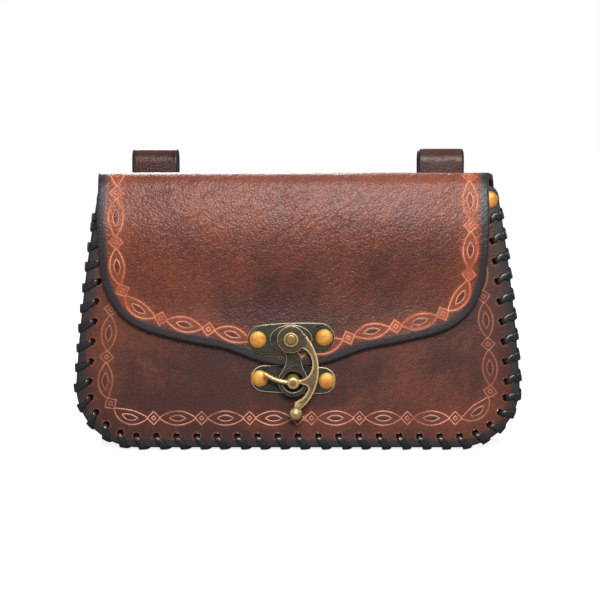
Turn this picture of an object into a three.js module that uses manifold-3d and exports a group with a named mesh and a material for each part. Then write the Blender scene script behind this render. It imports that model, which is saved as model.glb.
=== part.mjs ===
// A leather belt pouch: one leather piece makes the back, the fold and the flap, a second makes the
// front, and a thin gusset joins them. Both seams are whip-laced with a leather thong through punched
// holes. Two strap loops are riveted to the back, and a swing clasp holds the flap down.
// Millimetres, +Z up. The front faces -Y, and the pouch stands on its laced rims at z = 0.
import * as THREE from 'three';
import { mergeVertices } from 'three/addons/utils/BufferGeometryUtils.js';
import Module from 'manifold-3d';

const wasm = await Module();
wasm.setup();

// ---------------------------------------------------------------- driving dimensions

const LEATHER = 3;                 // panels, flap and straps
const GUSSET_LEATHER = 1.5;
const GAP = 0.3;                   // between two pieces that lie on each other
const SEAT = 0.25;                 // under a rivet's head and in front of its back washer
const DEPTH = 42;                  // outer face of the front panel to outer face of the back panel
const FRONT_Y = -DEPTH / 2;
const BACK_Y = DEPTH / 2;
const FLAP_GAP = 1.8;              // the flap lies over the heads of the corner rivets
const FLAP_Y = FRONT_Y - FLAP_GAP - LEATHER;
const FOLD_TOP = 135.5;
const FOLD_FRONT_RADIUS = 7.5;
const FOLD_BACK_RADIUS = 14;

// the thong and its holes
const LACE = { width: 3.1, inHole: 2.6, thick: 1, clear: 0.2, pitch: 10 };
const HOLE = { inset: 6.8, radius: 2, sides: 5 };
const STACK = LEATHER + GAP + GUSSET_LEATHER;

// laced edge: its straight bottom, its round corners and its bowed, sloping sides
const EDGE_BOTTOM = LACE.clear + LACE.thick;
const CORNER_RADIUS = 30;
const CORNER_X = 78.6;
const SIDE_LEAN = THREE.MathUtils.degToRad(4.5);
const SIDE_BOW = 2.4;
const SEAMS = {
  front: { faceY: FRONT_Y, inward: 1, topHalf: 97, topZ: 121.5, ear: 5, laceStart: 8 },
  back: { faceY: BACK_Y, inward: -1, topHalf: 101.3, topZ: 115, ear: 4.5, laceStart: 10 },
};

const FRONT_PANEL_TOP = 129.9;
const FRONT_PANEL_CORNER = 8;

// the flap: half widths and heights down to its nose, about a centre a little left of the middle
const FLAP_CENTRE = -1.3;
const FLAP_HALF = 94;
const BACK_FOLD_HALF = 101;
const FLAP_NOSE_Z = 42;

// the gusset: how far its web lies inside the laced edge, and how deep its top ends fold in
const WEB_INSET = 12;
const WEB_BEND = 1;
const WEB_FOLD = { depth: 9, from: 62 };

const RIVET = { head: 4.1, rise: 1.3, shank: 1.6, washer: 3.4, washerRise: 0.9, sides: 8 };
const PIN = { head: 2.4, rise: 0.8, shank: 1.1, washer: 2.4, washerRise: 0.8, sides: 6 };
const CORNER_RIVETS = [
  { seam: 'front', x: 92, z: 122.6 },
  { seam: 'back', x: 95.5, z: 113.6 },
];

// the swing clasp, about its pivot
const PIVOT = { x: -3.3, z: 56.2, radius: 1.9, bore: 2.3, button: 3.55, buttonRise: 1.4 };
const POST = { x: -2.3, z: 35.4, radius: 2.8, shank: 1.5, length: 10.3, dome: 0.8 };
const PLATE = { thick: 1.2, length: 42, radius: 7, bulge: 0.6, reach: 16, tilt: 1.8 };
const FOOT = { thick: 1.2, length: 41.2, radius: 6.4, bulge: 0.4, reach: 16.4, tilt: -2 };
const TAB = { thick: 1.2, headX: 10.2, headZ: 6.9, ring: 7.3, ringHole: 5.2, neck: 3.55 };
const LEVER = { thick: 1.9, disc: 6.55, spurRadius: 20.85, spurThick: 1.6, spurEnd: -38, ball: 3.3 };
const LEVER_CLEAR = 0.4;

const PLATE_Y = FLAP_Y - GAP - PLATE.thick;
const TAB_Y = PLATE_Y - GAP - TAB.thick;
const LEVER_Y = TAB_Y - LEVER_CLEAR - LEVER.thick;
const FOOT_Y = FRONT_Y - GAP - FOOT.thick;
const POST_TIP_Y = FOOT_Y - POST.length - POST.dome;

// the strap's outer face lies as far behind as the post's tip lies in front, which centres the origin
const STRAP = { x: 74, half: 11.75, top: 148.5, end: 50, clip: 9, endHalf: 5, innerEnd: 107 };
const STRAP_INNER_Y = BACK_Y + GAP + LEATHER / 2;
const STRAP_OUTER_Y = -POST_TIP_Y - LEATHER / 2;
const STRAP_RIVET_Z = 56;
const STRAP_PINS = { z: 113, spread: 6 };

const finish = (color, roughness, metalness) => ({ color, roughness, metalness });
const FINISHES = {
  leather: finish(0x6e3b2c, 0.5, 0),
  gusset: finish(0x5c3527, 0.6, 0),
  strap: finish(0x55352b, 0.4, 0),
  lace: finish(0x2a2322, 0.5, 0),
  rivet: finish(0xc19045, 0.3, 1),
  pin: finish(0x3a3430, 0.5, 1),
  clasp: finish(0x5b5138, 0.4, 1),
  post: finish(0xb39358, 0.35, 1),
};

// ---------------------------------------------------------------- helpers

const group = new THREE.Group();

function add(name, geometry, finishName) {
  const mesh = new THREE.Mesh(geometry, new THREE.MeshStandardMaterial(FINISHES[finishName]));
  mesh.name = name;
  group.add(mesh);
}

function toSolid(geometry) {
  const bare = geometry.clone();
  bare.deleteAttribute('normal');
  bare.deleteAttribute('uv');
  const merged = mergeVertices(bare, 1e-4);
  return new wasm.Manifold(new wasm.Mesh({
    numProp: 3,
    vertProperties: new Float32Array(merged.attributes.position.array),
    triVerts: new Uint32Array(merged.index.array),
  }));
}

function toGeometry(body) {
  const mesh = body.getMesh();
  const geometry = new THREE.BufferGeometry();
  geometry.setAttribute('position', new THREE.BufferAttribute(mesh.vertProperties, 3));
  geometry.setIndex(new THREE.BufferAttribute(mesh.triVerts, 1));
  geometry.computeVertexNormals();
  return geometry;
}

function cut(geometry, tools) {
  return toGeometry(toSolid(geometry).subtract(wasm.Manifold.union(tools.map(toSolid))));
}

// a rod along Y, to drill with
function rod(radius, fromY, toY, x, z, sides = 8) {
  const rodGeometry = new THREE.CylinderGeometry(radius, radius, toY - fromY, sides);
  return rodGeometry.translate(x, (fromY + toY) / 2, z);
}

// a flat plate: a shape drawn in x and z, its front face at the given y
function plate(shape, frontY, thick, curveSegments = 12) {
  const geometry = new THREE.ExtrudeGeometry(shape, { depth: thick, bevelEnabled: false, curveSegments });
  return geometry.rotateX(Math.PI / 2).translate(0, frontY + thick, 0);
}

// a turned piece along Y, from [radius, y] pairs that start and end on the axis
function turned(profile, sides) {
  return new THREE.LatheGeometry(profile.map(([r, y]) => new THREE.Vector2(r, y)), sides);
}

// a closed sheet between two grids of points, rows by columns
function thickSheet(faceA, faceB) {
  const rows = faceA.length;
  const cols = faceA[0].length;
  const at = (side, row, col) => (side * rows + row) * cols + col;
  const index = [];
  const quad = (a, b, c, d) => index.push(a, b, c, a, c, d);
  for (let row = 0; row + 1 < rows; row += 1) {
    for (let col = 0; col + 1 < cols; col += 1) {
      quad(at(0, row, col), at(0, row, col + 1), at(0, row + 1, col + 1), at(0, row + 1, col));
      quad(at(1, row, col), at(1, row + 1, col), at(1, row + 1, col + 1), at(1, row, col + 1));
    }
    quad(at(0, row, 0), at(0, row + 1, 0), at(1, row + 1, 0), at(1, row, 0));
    const last = cols - 1;
    quad(at(0, row, last), at(1, row, last), at(1, row + 1, last), at(0, row + 1, last));
  }
  for (let col = 0; col + 1 < cols; col += 1) {
    quad(at(0, 0, col), at(1, 0, col), at(1, 0, col + 1), at(0, 0, col + 1));
    const last = rows - 1;
    quad(at(0, last, col + 1), at(1, last, col + 1), at(1, last, col), at(0, last, col));
  }
  const points = [...faceA.flat(), ...faceB.flat()];
  let volume = 0;
  for (let i = 0; i < index.length; i += 3) {
    const [a, b, c] = [points[index[i]], points[index[i + 1]], points[index[i + 2]]];
    volume += a.dot(b.clone().cross(c));
  }
  if (volume < 0) index.reverse();
  const geometry = new THREE.BufferGeometry().setFromPoints(points);
  geometry.setIndex(index);
  geometry.computeVertexNormals();
  return geometry;
}

const point = (x, y, z) => new THREE.Vector3(x, y, z);
const mix = THREE.MathUtils.lerp;

// ---------------------------------------------------------------- the laced edge

// from the left top, down, along the bottom and up to the right top, in x and z
function lacedEdge({ topHalf, topZ }) {
  const centreZ = EDGE_BOTTOM + CORNER_RADIUS;
  const lowX = CORNER_X + CORNER_RADIUS * Math.cos(SIDE_LEAN);
  const lowZ = centreZ + CORNER_RADIUS * Math.sin(SIDE_LEAN);
  const bowX = (topHalf + lowX) / 2 + SIDE_BOW;
  const bowZ = (topZ + lowZ) / 2;
  const path = new THREE.Path();
  path.moveTo(-topHalf, topZ);
  path.quadraticCurveTo(-bowX, bowZ, -lowX, lowZ);
  path.absarc(-CORNER_X, centreZ, CORNER_RADIUS, Math.PI - SIDE_LEAN, 1.5 * Math.PI, false);
  path.lineTo(CORNER_X, EDGE_BOTTOM);
  path.absarc(CORNER_X, centreZ, CORNER_RADIUS, -0.5 * Math.PI, SIDE_LEAN, false);
  path.quadraticCurveTo(bowX, bowZ, topHalf, topZ);
  return path;
}

// the few points that the panels' and the gusset's outlines share, each with its outward normal
function edgeStations(path) {
  const points = path.getPoints(4);
  return points.map((p, i) => {
    const before = points[Math.max(i - 1, 0)];
    const after = points[Math.min(i + 1, points.length - 1)];
    const along = after.clone().sub(before).normalize();
    return { x: p.x, z: p.y, nx: along.y, nz: -along.x };
  });
}

// a place on the edge at a length along it, moved outward by n
function edgeFrame(path, length) {
  const u = length / path.getLength();
  const p = path.getPoint(u);
  const t = path.getTangent(u);
  return { x: p.x, z: p.y, tx: t.x, tz: t.y, nx: t.y, nz: -t.x };
}

for (const seam of Object.values(SEAMS)) {
  seam.path = lacedEdge(seam);
  seam.stations = edgeStations(seam.path);
  const laced = seam.path.getLength() - 2 * seam.laceStart;
  seam.stitches = Math.round(laced / LACE.pitch);
  seam.pitch = laced / seam.stitches;
  seam.holes = Array.from({ length: seam.stitches + 1 }, (_, i) => {
    const at = edgeFrame(seam.path, seam.laceStart + i * seam.pitch);
    return { x: at.x - at.nx * HOLE.inset, z: at.z - at.nz * HOLE.inset };
  });
}

// drills every hole of one seam through whatever lies between two depths
function laceDrills({ holes }, fromY, toY) {
  return holes.map(({ x, z }) => rod(HOLE.radius, fromY, toY, x, z, HOLE.sides));
}

function rivetDrills(spots, fromY, toY, style = RIVET) {
  return spots.map(({ x, z }) => rod(style.shank + 0.4, fromY, toY, x, z));
}

const bothSides = ({ x, z }) => [{ x: -x, z }, { x, z }];
const cornerSpots = (name) => CORNER_RIVETS.filter(({ seam }) => seam === name).flatMap(bothSides);
const strapRivetSpots = bothSides({ x: STRAP.x, z: STRAP_RIVET_Z });
const strapPinSpots = bothSides({ x: STRAP.x, z: STRAP_PINS.z }).flatMap(({ x, z }) => [
  { x: x - STRAP_PINS.spread, z },
  { x: x + STRAP_PINS.spread, z },
]);

function tiltedSpots({ x, z }, { reach, tilt }) {
  const angle = THREE.MathUtils.degToRad(tilt);
  return [-1, 1].map((side) => ({
    x: x + side * reach * Math.cos(angle),
    z: z + side * reach * Math.sin(angle),
  }));
}

const plateSpots = tiltedSpots(PIVOT, PLATE);
const footSpots = tiltedSpots(POST, FOOT);

// ---------------------------------------------------------------- leather

// one row straight across the back, fold or flap: a place on the outer face and its normal
function leatherRow(y, z, ny, nz, half, centre = 0) {
  const ends = [centre - half, centre + half];
  return {
    outer: ends.map((x) => point(x, y, z)),
    inner: ends.map((x) => point(x, y - ny * LEATHER, z - nz * LEATHER)),
  };
}

function foldRows(centreY, centreZ, radius, fromDeg, steps, halfAt) {
  return Array.from({ length: steps + 1 }, (_, i) => {
    const angle = THREE.MathUtils.degToRad(fromDeg + (90 * i) / steps);
    const ny = Math.cos(angle);
    const nz = Math.sin(angle);
    const y = centreY + radius * ny;
    const { half, centre } = halfAt(y);
    return leatherRow(y, centreZ + radius * nz, ny, nz, half, centre);
  });
}

// half of the flap's outline, from the fold down its side and round to the nose
function flapOutline(topZ) {
  const path = new THREE.Path();
  path.moveTo(FLAP_HALF, topZ);
  path.quadraticCurveTo(95, 108, 93.6, 92);
  path.quadraticCurveTo(92.5, 64.6, 67, 58);
  path.quadraticCurveTo(53, 54.2, 38, 51.7);
  path.bezierCurveTo(26, 49.6, 19, 42.4, 1, FLAP_NOSE_Z);
  return path.getPoints(6);
}

function backPanelFlap() {
  const { stations } = SEAMS.back;
  const rightSide = stations.slice(stations.length / 2);
  const backRows = rightSide.map(({ x, z }) => leatherRow(BACK_Y, z, 1, 0, x));
  const taper = (y) => {
    const share = (BACK_Y - y) / (BACK_Y - FLAP_Y);
    return { half: mix(BACK_FOLD_HALF, FLAP_HALF, share), centre: FLAP_CENTRE * share };
  };
  const backCentreZ = FOLD_TOP - FOLD_BACK_RADIUS;
  const frontCentreZ = FOLD_TOP - FOLD_FRONT_RADIUS;
  const flapRows = flapOutline(frontCentreZ).slice(1);
  const rows = [
    ...backRows,
    ...foldRows(BACK_Y - FOLD_BACK_RADIUS, backCentreZ, FOLD_BACK_RADIUS, 0, 7, taper),
    ...foldRows(FLAP_Y + FOLD_FRONT_RADIUS, frontCentreZ, FOLD_FRONT_RADIUS, 90, 6, taper),
    ...flapRows.map(({ x, y }) => leatherRow(FLAP_Y, y, -1, 0, x, FLAP_CENTRE)),
  ];
  const sheet = thickSheet(rows.map((row) => row.outer), rows.map((row) => row.inner));
  const backInner = BACK_Y - LEATHER - 1;
  const backOuter = BACK_Y + 1;
  return cut(sheet, [
    ...laceDrills(SEAMS.back, backInner, backOuter),
    ...rivetDrills([...cornerSpots('back'), ...strapRivetSpots], backInner, backOuter),
    ...rivetDrills(strapPinSpots, backInner, backOuter, PIN),
    ...rivetDrills(plateSpots, FLAP_Y - 1, FLAP_Y + LEATHER + 1),
  ]);
}

function frontPanel() {
  const { stations, topHalf, topZ } = SEAMS.front;
  const shape = new THREE.Shape(stations.map(({ x, z }) => new THREE.Vector2(x, z)));
  const reach = topHalf - FRONT_PANEL_CORNER;
  shape.quadraticCurveTo(topHalf, FRONT_PANEL_TOP, reach, FRONT_PANEL_TOP);
  shape.lineTo(-reach, FRONT_PANEL_TOP);
  shape.quadraticCurveTo(-topHalf, FRONT_PANEL_TOP, -topHalf, topZ);
  const from = FRONT_Y - 1;
  const to = FRONT_Y + LEATHER + 1;
  return cut(plate(shape, FRONT_Y, LEATHER, 5), [
    ...laceDrills(SEAMS.front, from, to),
    ...rivetDrills([...cornerSpots('front'), ...footSpots], from, to),
  ]);
}

// one crosswise row of the gusset: front rim, bend, folded web, bend, back rim
function gussetRow(front, back, rimInset) {
  const fold = Math.max(0, (front.z - WEB_FOLD.from) / (FRONT_PANEL_TOP - WEB_FOLD.from));
  const rimY = DEPTH / 2 - LEATHER - GAP;
  const place = (station, inset, y) => {
    return point(station.x - station.nx * inset, y, station.z - station.nz * inset);
  };
  const outside = [
    place(front, rimInset, -rimY + GUSSET_LEATHER),
    place(front, WEB_INSET - WEB_BEND, -rimY + GUSSET_LEATHER),
    place(front, WEB_INSET, -rimY + GUSSET_LEATHER + WEB_BEND),
  ];
  const inside = [
    place(front, rimInset, -rimY),
    place(front, WEB_INSET, -rimY),
    place(front, WEB_INSET + GUSSET_LEATHER, -rimY + GUSSET_LEATHER),
  ];
  const middle = (depth) => {
    const a = place(front, depth, 0);
    return a.add(place(back, depth, 0)).multiplyScalar(0.5);
  };
  const crease = WEB_INSET + WEB_FOLD.depth * fold;
  const outsideBack = [
    place(back, WEB_INSET, rimY - GUSSET_LEATHER - WEB_BEND),
    place(back, WEB_INSET - WEB_BEND, rimY - GUSSET_LEATHER),
    place(back, rimInset, rimY - GUSSET_LEATHER),
  ];
  const insideBack = [
    place(back, WEB_INSET + GUSSET_LEATHER, rimY - GUSSET_LEATHER),
    place(back, WEB_INSET, rimY),
    place(back, rimInset, rimY),
  ];
  return {
    outside: [...outside, middle(crease), ...outsideBack],
    inside: [...inside, middle(crease + GUSSET_LEATHER), ...insideBack],
  };
}

// the edge's stations, with one more at each end where the gusset's ear runs past the lacing
function earedStations({ stations, ear }) {
  const extend = (station, next) => {
    const run = Math.hypot(station.x - next.x, station.z - next.z);
    const x = station.x + ((station.x - next.x) / run) * ear;
    const z = station.z + ((station.z - next.z) / run) * ear;
    return { ...station, x, z };
  };
  const last = stations.length - 1;
  return [
    extend(stations[0], stations[1]),
    ...stations,
    extend(stations[last], stations[last - 1]),
  ];
}

function gusset() {
  const front = earedStations(SEAMS.front);
  const back = earedStations(SEAMS.back);
  const rows = front.map((station, i) => {
    const atEnd = i === 0 || i === front.length - 1;
    return gussetRow(station, back[i], atEnd ? SEAMS.front.ear : 0);
  });
  const sheet = thickSheet(rows.map((row) => row.outside), rows.map((row) => row.inside));
  const rimY = DEPTH / 2 - LEATHER;
  const rimInnerY = rimY - GAP - GUSSET_LEATHER - 1;
  return cut(sheet, [
    ...laceDrills(SEAMS.front, -rimY, -rimInnerY),
    ...laceDrills(SEAMS.back, rimInnerY, rimY),
    ...rivetDrills(cornerSpots('front'), -rimY, -rimInnerY),
    ...rivetDrills(cornerSpots('back'), rimInnerY, rimY),
  ]);
}

// one turn of the whip stitch: up through a hole, out over the face, round the edge and back behind.
// n runs outward from the leather's edge, depth runs in from its outer face, along is in pitches
const OVER = -LACE.clear;
const UNDER = STACK + LACE.clear;
const OUT = LACE.clear;
const HALF = LACE.thick / 2;
const IN_HOLE = LACE.inHole / 2;
const FLAT = LACE.width / 2;
const crosswise = (along, depth, outerDepth) => ({
  along,
  half: IN_HOLE,
  inner: { n: HALF - HOLE.inset, depth },
  outer: { n: -HALF - HOLE.inset, depth: outerDepth },
});
const STITCH = [
  crosswise(0, UNDER, UNDER + LACE.thick),
  crosswise(0, OVER, OVER - LACE.thick),
  {
    along: 0.44,
    half: FLAT,
    inner: { n: OUT, depth: OVER },
    outer: { n: OUT + LACE.thick, depth: OVER - LACE.thick },
  },
  {
    along: 0.56,
    half: FLAT,
    inner: { n: OUT, depth: UNDER },
    outer: { n: OUT + LACE.thick, depth: UNDER + LACE.thick },
  },
];
const tail = (along, n) => ({
  along,
  half: FLAT,
  inner: { n, depth: UNDER },
  outer: { n, depth: UNDER + LACE.thick },
});

function lace(seam) {
  const faces = { inner: [], outer: [] };
  const section = (stitch, { along, half, inner, outer }) => {
    const at = edgeFrame(seam.path, seam.laceStart + (stitch + along) * seam.pitch);
    const row = ({ n, depth }) => [-half, half].map((side) => point(
      at.x + at.nx * n + at.tx * side,
      seam.faceY + seam.inward * depth,
      at.z + at.nz * n + at.tz * side,
    ));
    faces.inner.push(row(inner));
    faces.outer.push(row(outer));
  };
  section(0, tail(-0.25, -HOLE.inset / 2));
  for (let stitch = 0; stitch <= seam.stitches; stitch += 1) {
    STITCH.forEach((row) => section(stitch, row));
  }
  section(seam.stitches, tail(0.35, -HOLE.inset / 2));
  return thickSheet(faces.inner, faces.outer);
}

// ---------------------------------------------------------------- belt loops

// the strap's middle line in y and z: inner leg up, over the top, outer leg down to its clipped end
function strapLine() {
  const turn = (STRAP_OUTER_Y - STRAP_INNER_Y) / 2;
  const topZ = STRAP.top - LEATHER / 2 - turn;
  const bowTop = 132;
  const landing = 68;
  const path = new THREE.Path();
  path.moveTo(STRAP_INNER_Y, STRAP.innerEnd);
  path.lineTo(STRAP_INNER_Y, topZ);
  path.absarc(STRAP_INNER_Y + turn, topZ, turn, Math.PI, 0, true);
  path.lineTo(STRAP_OUTER_Y, bowTop);
  path.bezierCurveTo(STRAP_OUTER_Y, 100, STRAP_INNER_Y, 92, STRAP_INNER_Y, landing);
  path.lineTo(STRAP_INNER_Y, STRAP.end + STRAP.clip);
  path.lineTo(STRAP_INNER_Y, STRAP.end);
  return path.getPoints(5);
}

function beltLoop(side) {
  const line = strapLine();
  const faces = { left: [], right: [] };
  line.forEach((p, i) => {
    const before = line[Math.max(i - 1, 0)];
    const after = line[Math.min(i + 1, line.length - 1)];
    const along = after.clone().sub(before).normalize();
    const half = i === line.length - 1 ? STRAP.endHalf : STRAP.half;
    const row = (offset) => [-half, half].map((x) => point(
      side * STRAP.x + x,
      p.x - along.y * offset,
      p.y + along.x * offset,
    ));
    faces.left.push(row(LEATHER / 2));
    faces.right.push(row(-LEATHER / 2));
  });
  const near = ({ x }) => x * side > 0;
  const outerLegY = STRAP_INNER_Y + LEATHER;
  return cut(thickSheet(faces.left, faces.right), [
    ...rivetDrills(strapRivetSpots.filter(near), BACK_Y, outerLegY),
    ...rivetDrills(strapPinSpots.filter(near), BACK_Y, STRAP_INNER_Y + LEATHER / 2 + GAP, PIN),
  ]);
}

// ---------------------------------------------------------------- rivets

// a domed rivet whose head faces -Y at y = 0, through a stack of the given thickness
function rivet(style, stack) {
  const under = -SEAT;
  const washer = stack + SEAT;
  return turned([
    [0, under - style.rise],
    [style.head * 0.75, under - style.rise * 0.7],
    [style.head, under],
    [style.shank, under],
    [style.shank, washer],
    [style.washer, washer],
    [style.washer, washer + style.washerRise],
    [0, washer + style.washerRise],
  ], style.sides);
}

function addRivet(name, { x, z }, faceY, stack, facing, style = RIVET, finishName = 'rivet') {
  const geometry = rivet(style, stack);
  if (facing > 0) geometry.rotateX(Math.PI);
  add(name, geometry.translate(x, faceY, z), finishName);
}

// ---------------------------------------------------------------- clasp

// an oblong plate with round ends and a slightly bulging middle, drilled for its rivets
function oblong({ length, radius, bulge, reach, tilt }, middleHole) {
  const end = length / 2 - radius;
  const shape = new THREE.Shape();
  shape.moveTo(-end, -radius);
  shape.quadraticCurveTo(0, -radius - 2 * bulge, end, -radius);
  shape.absarc(end, 0, radius, -Math.PI / 2, Math.PI / 2, false);
  shape.quadraticCurveTo(0, radius + 2 * bulge, -end, radius);
  shape.absarc(-end, 0, radius, Math.PI / 2, 1.5 * Math.PI, false);
  const drilled = [[-reach, RIVET.shank + 0.4], [0, middleHole], [reach, RIVET.shank + 0.4]];
  for (const [x, holeRadius] of drilled) {
    const hole = new THREE.Path();
    hole.absarc(x, 0, holeRadius, 0, 2 * Math.PI, false);
    shape.holes.push(hole);
  }
  return { shape, angle: THREE.MathUtils.degToRad(-tilt) };
}

function oblongPlate(style, middleHole, centre, frontY) {
  const { shape, angle } = oblong(style, middleHole);
  const geometry = plate(shape, frontY, style.thick, 5);
  return geometry.rotateY(angle).translate(centre.x, 0, centre.z);
}

// the tab that the clasp holds: oval head under the lever, neck, and the ring round the post
function tab() {
  const ringX = POST.x - PIVOT.x;
  const ringZ = POST.z - PIVOT.z;
  const open = THREE.MathUtils.degToRad(70);
  const neckTop = -9.4;
  const neckX = ringX + 0.3;
  const ringSide = THREE.MathUtils.degToRad(25);
  const shape = new THREE.Shape();
  shape.absellipse(0, 0, TAB.headX, TAB.headZ, -open, Math.PI + open, false);
  shape.lineTo(neckX - TAB.neck, neckTop);
  shape.quadraticCurveTo(neckX - TAB.neck, -13, ringX - TAB.ring * Math.cos(ringSide),
    ringZ + TAB.ring * Math.sin(ringSide));
  shape.absarc(ringX, ringZ, TAB.ring, Math.PI - ringSide, 2 * Math.PI + ringSide, false);
  shape.quadraticCurveTo(neckX + TAB.neck, -13, neckX + TAB.neck, neckTop);
  const ringHole = new THREE.Path();
  ringHole.absarc(ringX, ringZ, TAB.ringHole, 0, 2 * Math.PI, false);
  const bore = new THREE.Path();
  bore.absarc(0, 0, PIVOT.bore, 0, 2 * Math.PI, false);
  shape.holes.push(ringHole, bore);
  return plate(shape, TAB_Y, TAB.thick, 6).translate(PIVOT.x, 0, PIVOT.z);
}

// the lever: a disc on the pivot, a crescent bow, a spur that follows a circle about the pivot
// through the post, and a ball to pull it by
function lever() {
  const deg = THREE.MathUtils.degToRad;
  const down = -Math.PI / 2;
  const bow = { x: -12.1, z: -14.8, radius: 25.4 };
  const ball = { x: 2.3, z: -35.9 };
  const spurIn = LEVER.spurRadius - LEVER.spurThick / 2;
  const spurOut = LEVER.spurRadius + LEVER.spurThick / 2;
  const shape = new THREE.Shape();
  shape.absarc(bow.x, bow.z, bow.radius, deg(43.5), deg(-42), true);
  shape.lineTo(ball.x + 1, ball.z + 1);
  shape.lineTo(ball.x - 1, ball.z + 1);
  shape.lineTo(1.9, -30.4);
  shape.quadraticCurveTo(7.2, -28.6, 8.4, -23.4);
  shape.lineTo(5.6, -22.2);
  shape.absarc(0, 0, spurOut, down + deg(11), down + deg(LEVER.spurEnd), true);
  shape.absarc(0, 0, spurIn, down + deg(LEVER.spurEnd), down + deg(11), false);
  shape.quadraticCurveTo(9.6, -19.4, 10.3, -12.6);
  shape.quadraticCurveTo(10.3, -6.2, 5.1, -4.1);
  shape.absarc(0, 0, LEVER.disc, deg(-39), deg(-338), true);
  const flat = toSolid(plate(shape, LEVER_Y, LEVER.thick, 7));
  const ballBody = new THREE.SphereGeometry(LEVER.ball, 10, 6);
  ballBody.translate(ball.x, LEVER_Y + LEVER.thick / 2, ball.z);
  const bore = rod(PIVOT.bore, LEVER_Y - 1, LEVER_Y + LEVER.thick + 1, 0, 0, 12);
  const body = flat.add(toSolid(ballBody)).subtract(toSolid(bore));
  return toGeometry(body).translate(PIVOT.x, 0, PIVOT.z);
}

function pivot() {
  const { radius, button, buttonRise } = PIVOT;
  const under = LEVER_Y - GAP;
  return turned([
    [0, under - buttonRise],
    [button * 0.7, under - buttonRise * 0.9],
    [button, under - buttonRise * 0.45],
    [button, under],
    [radius, under],
    [radius, PLATE_Y + PLATE.thick],
    [0, PLATE_Y + PLATE.thick],
  ], 12).translate(PIVOT.x, 0, PIVOT.z);
}

// the post, with the cross hole that the lever's spur slides through
function post() {
  const base = FOOT_Y - GAP;
  const crown = FOOT_Y - POST.length;
  const body = turned([
    [0, POST_TIP_Y],
    [POST.radius * 0.55, POST_TIP_Y + POST.dome * 0.3],
    [POST.radius, crown],
    [POST.radius, base],
    [POST.shank, base],
    [POST.shank, FOOT_Y + FOOT.thick],
    [0, FOOT_Y + FOOT.thick],
  ], 12).translate(POST.x, 0, POST.z);
  const play = 0.45;
  const slot = new THREE.BoxGeometry(
    4 * POST.radius,
    LEVER.thick + 2 * play,
    LEVER.spurThick + 2 * play,
  );
  const lean = Math.atan2(POST.x - PIVOT.x, PIVOT.z - POST.z);
  slot.rotateY(-lean);
  slot.translate(POST.x, LEVER_Y + LEVER.thick / 2, PIVOT.z - LEVER.spurRadius * Math.cos(lean));
  return cut(body, [slot]);
}

// ---------------------------------------------------------------- assembly

add('back_panel_flap', backPanelFlap(), 'leather');
add('front_panel', frontPanel(), 'leather');
add('gusset', gusset(), 'gusset');
add('front_lace', lace(SEAMS.front), 'lace');
add('back_lace', lace(SEAMS.back), 'lace');

for (const [side, sideName] of [[-1, 'left'], [1, 'right']]) {
  add(`belt_loop_${sideName}`, beltLoop(side), 'strap');
  for (const { seam, x, z } of CORNER_RIVETS) {
    const { faceY, inward } = SEAMS[seam];
    addRivet(`corner_rivet_${seam}_${sideName}`, { x: side * x, z }, faceY, STACK, -inward);
  }
  const legs = 2 * LEATHER + GAP;
  const strapFaceY = BACK_Y + GAP + LEATHER;
  const near = ({ x }) => x * side > 0;
  const [rivetSpot] = strapRivetSpots.filter(near);
  addRivet(`loop_rivet_${sideName}`, rivetSpot, strapFaceY, legs, 1);
  strapPinSpots.filter(near).forEach((spot, i) => {
    addRivet(`loop_pin_${sideName}_${i + 1}`, spot, strapFaceY, legs, 1, PIN, 'pin');
  });
}

add('clasp_plate', oblongPlate(PLATE, PIVOT.bore, PIVOT, PLATE_Y), 'clasp');
add('clasp_tab', tab(), 'clasp');
add('clasp_lever', lever(), 'clasp');
add('clasp_pivot', pivot(), 'clasp');
add('clasp_foot', oblongPlate(FOOT, POST.shank + GAP, POST, FOOT_Y), 'clasp');
add('clasp_post', post(), 'post');
plateSpots.forEach((spot, i) => {
  addRivet(`clasp_plate_rivet_${i + 1}`, spot, PLATE_Y, PLATE.thick + GAP + LEATHER, -1);
});
footSpots.forEach((spot, i) => {
  addRivet(`clasp_foot_rivet_${i + 1}`, spot, FOOT_Y, FOOT.thick + GAP + LEATHER, -1);
});

export default group;
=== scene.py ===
import math
import random

import bmesh
import bpy
from bpy.props import FloatProperty, FloatVectorProperty, PointerProperty
from mathutils import Matrix, Vector, noise
from mathutils.kdtree import KDTree


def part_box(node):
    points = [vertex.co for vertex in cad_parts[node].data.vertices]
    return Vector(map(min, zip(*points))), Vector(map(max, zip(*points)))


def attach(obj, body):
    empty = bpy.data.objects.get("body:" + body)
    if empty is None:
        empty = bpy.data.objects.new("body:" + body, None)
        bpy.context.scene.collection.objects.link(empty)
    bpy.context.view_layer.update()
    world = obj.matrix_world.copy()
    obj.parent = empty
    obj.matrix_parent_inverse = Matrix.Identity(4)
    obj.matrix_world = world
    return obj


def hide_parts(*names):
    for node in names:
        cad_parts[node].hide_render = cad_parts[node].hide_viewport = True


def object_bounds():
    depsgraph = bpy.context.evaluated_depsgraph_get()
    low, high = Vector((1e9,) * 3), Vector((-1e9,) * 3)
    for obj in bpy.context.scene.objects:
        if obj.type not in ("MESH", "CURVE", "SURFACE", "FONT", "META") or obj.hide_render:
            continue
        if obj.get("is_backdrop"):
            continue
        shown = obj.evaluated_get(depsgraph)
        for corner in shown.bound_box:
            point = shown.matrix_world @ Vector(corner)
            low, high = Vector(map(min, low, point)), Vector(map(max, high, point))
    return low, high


bl_info = {
    "name": "Belt pouch",
    "version": (1, 0, 0),
    "blender": (4, 5, 0),
    "location": "View3D > Sidebar > Pouch",
    "description": "Builds a whip-laced leather belt pouch with a swing clasp",
    "category": "Object",
}

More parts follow.
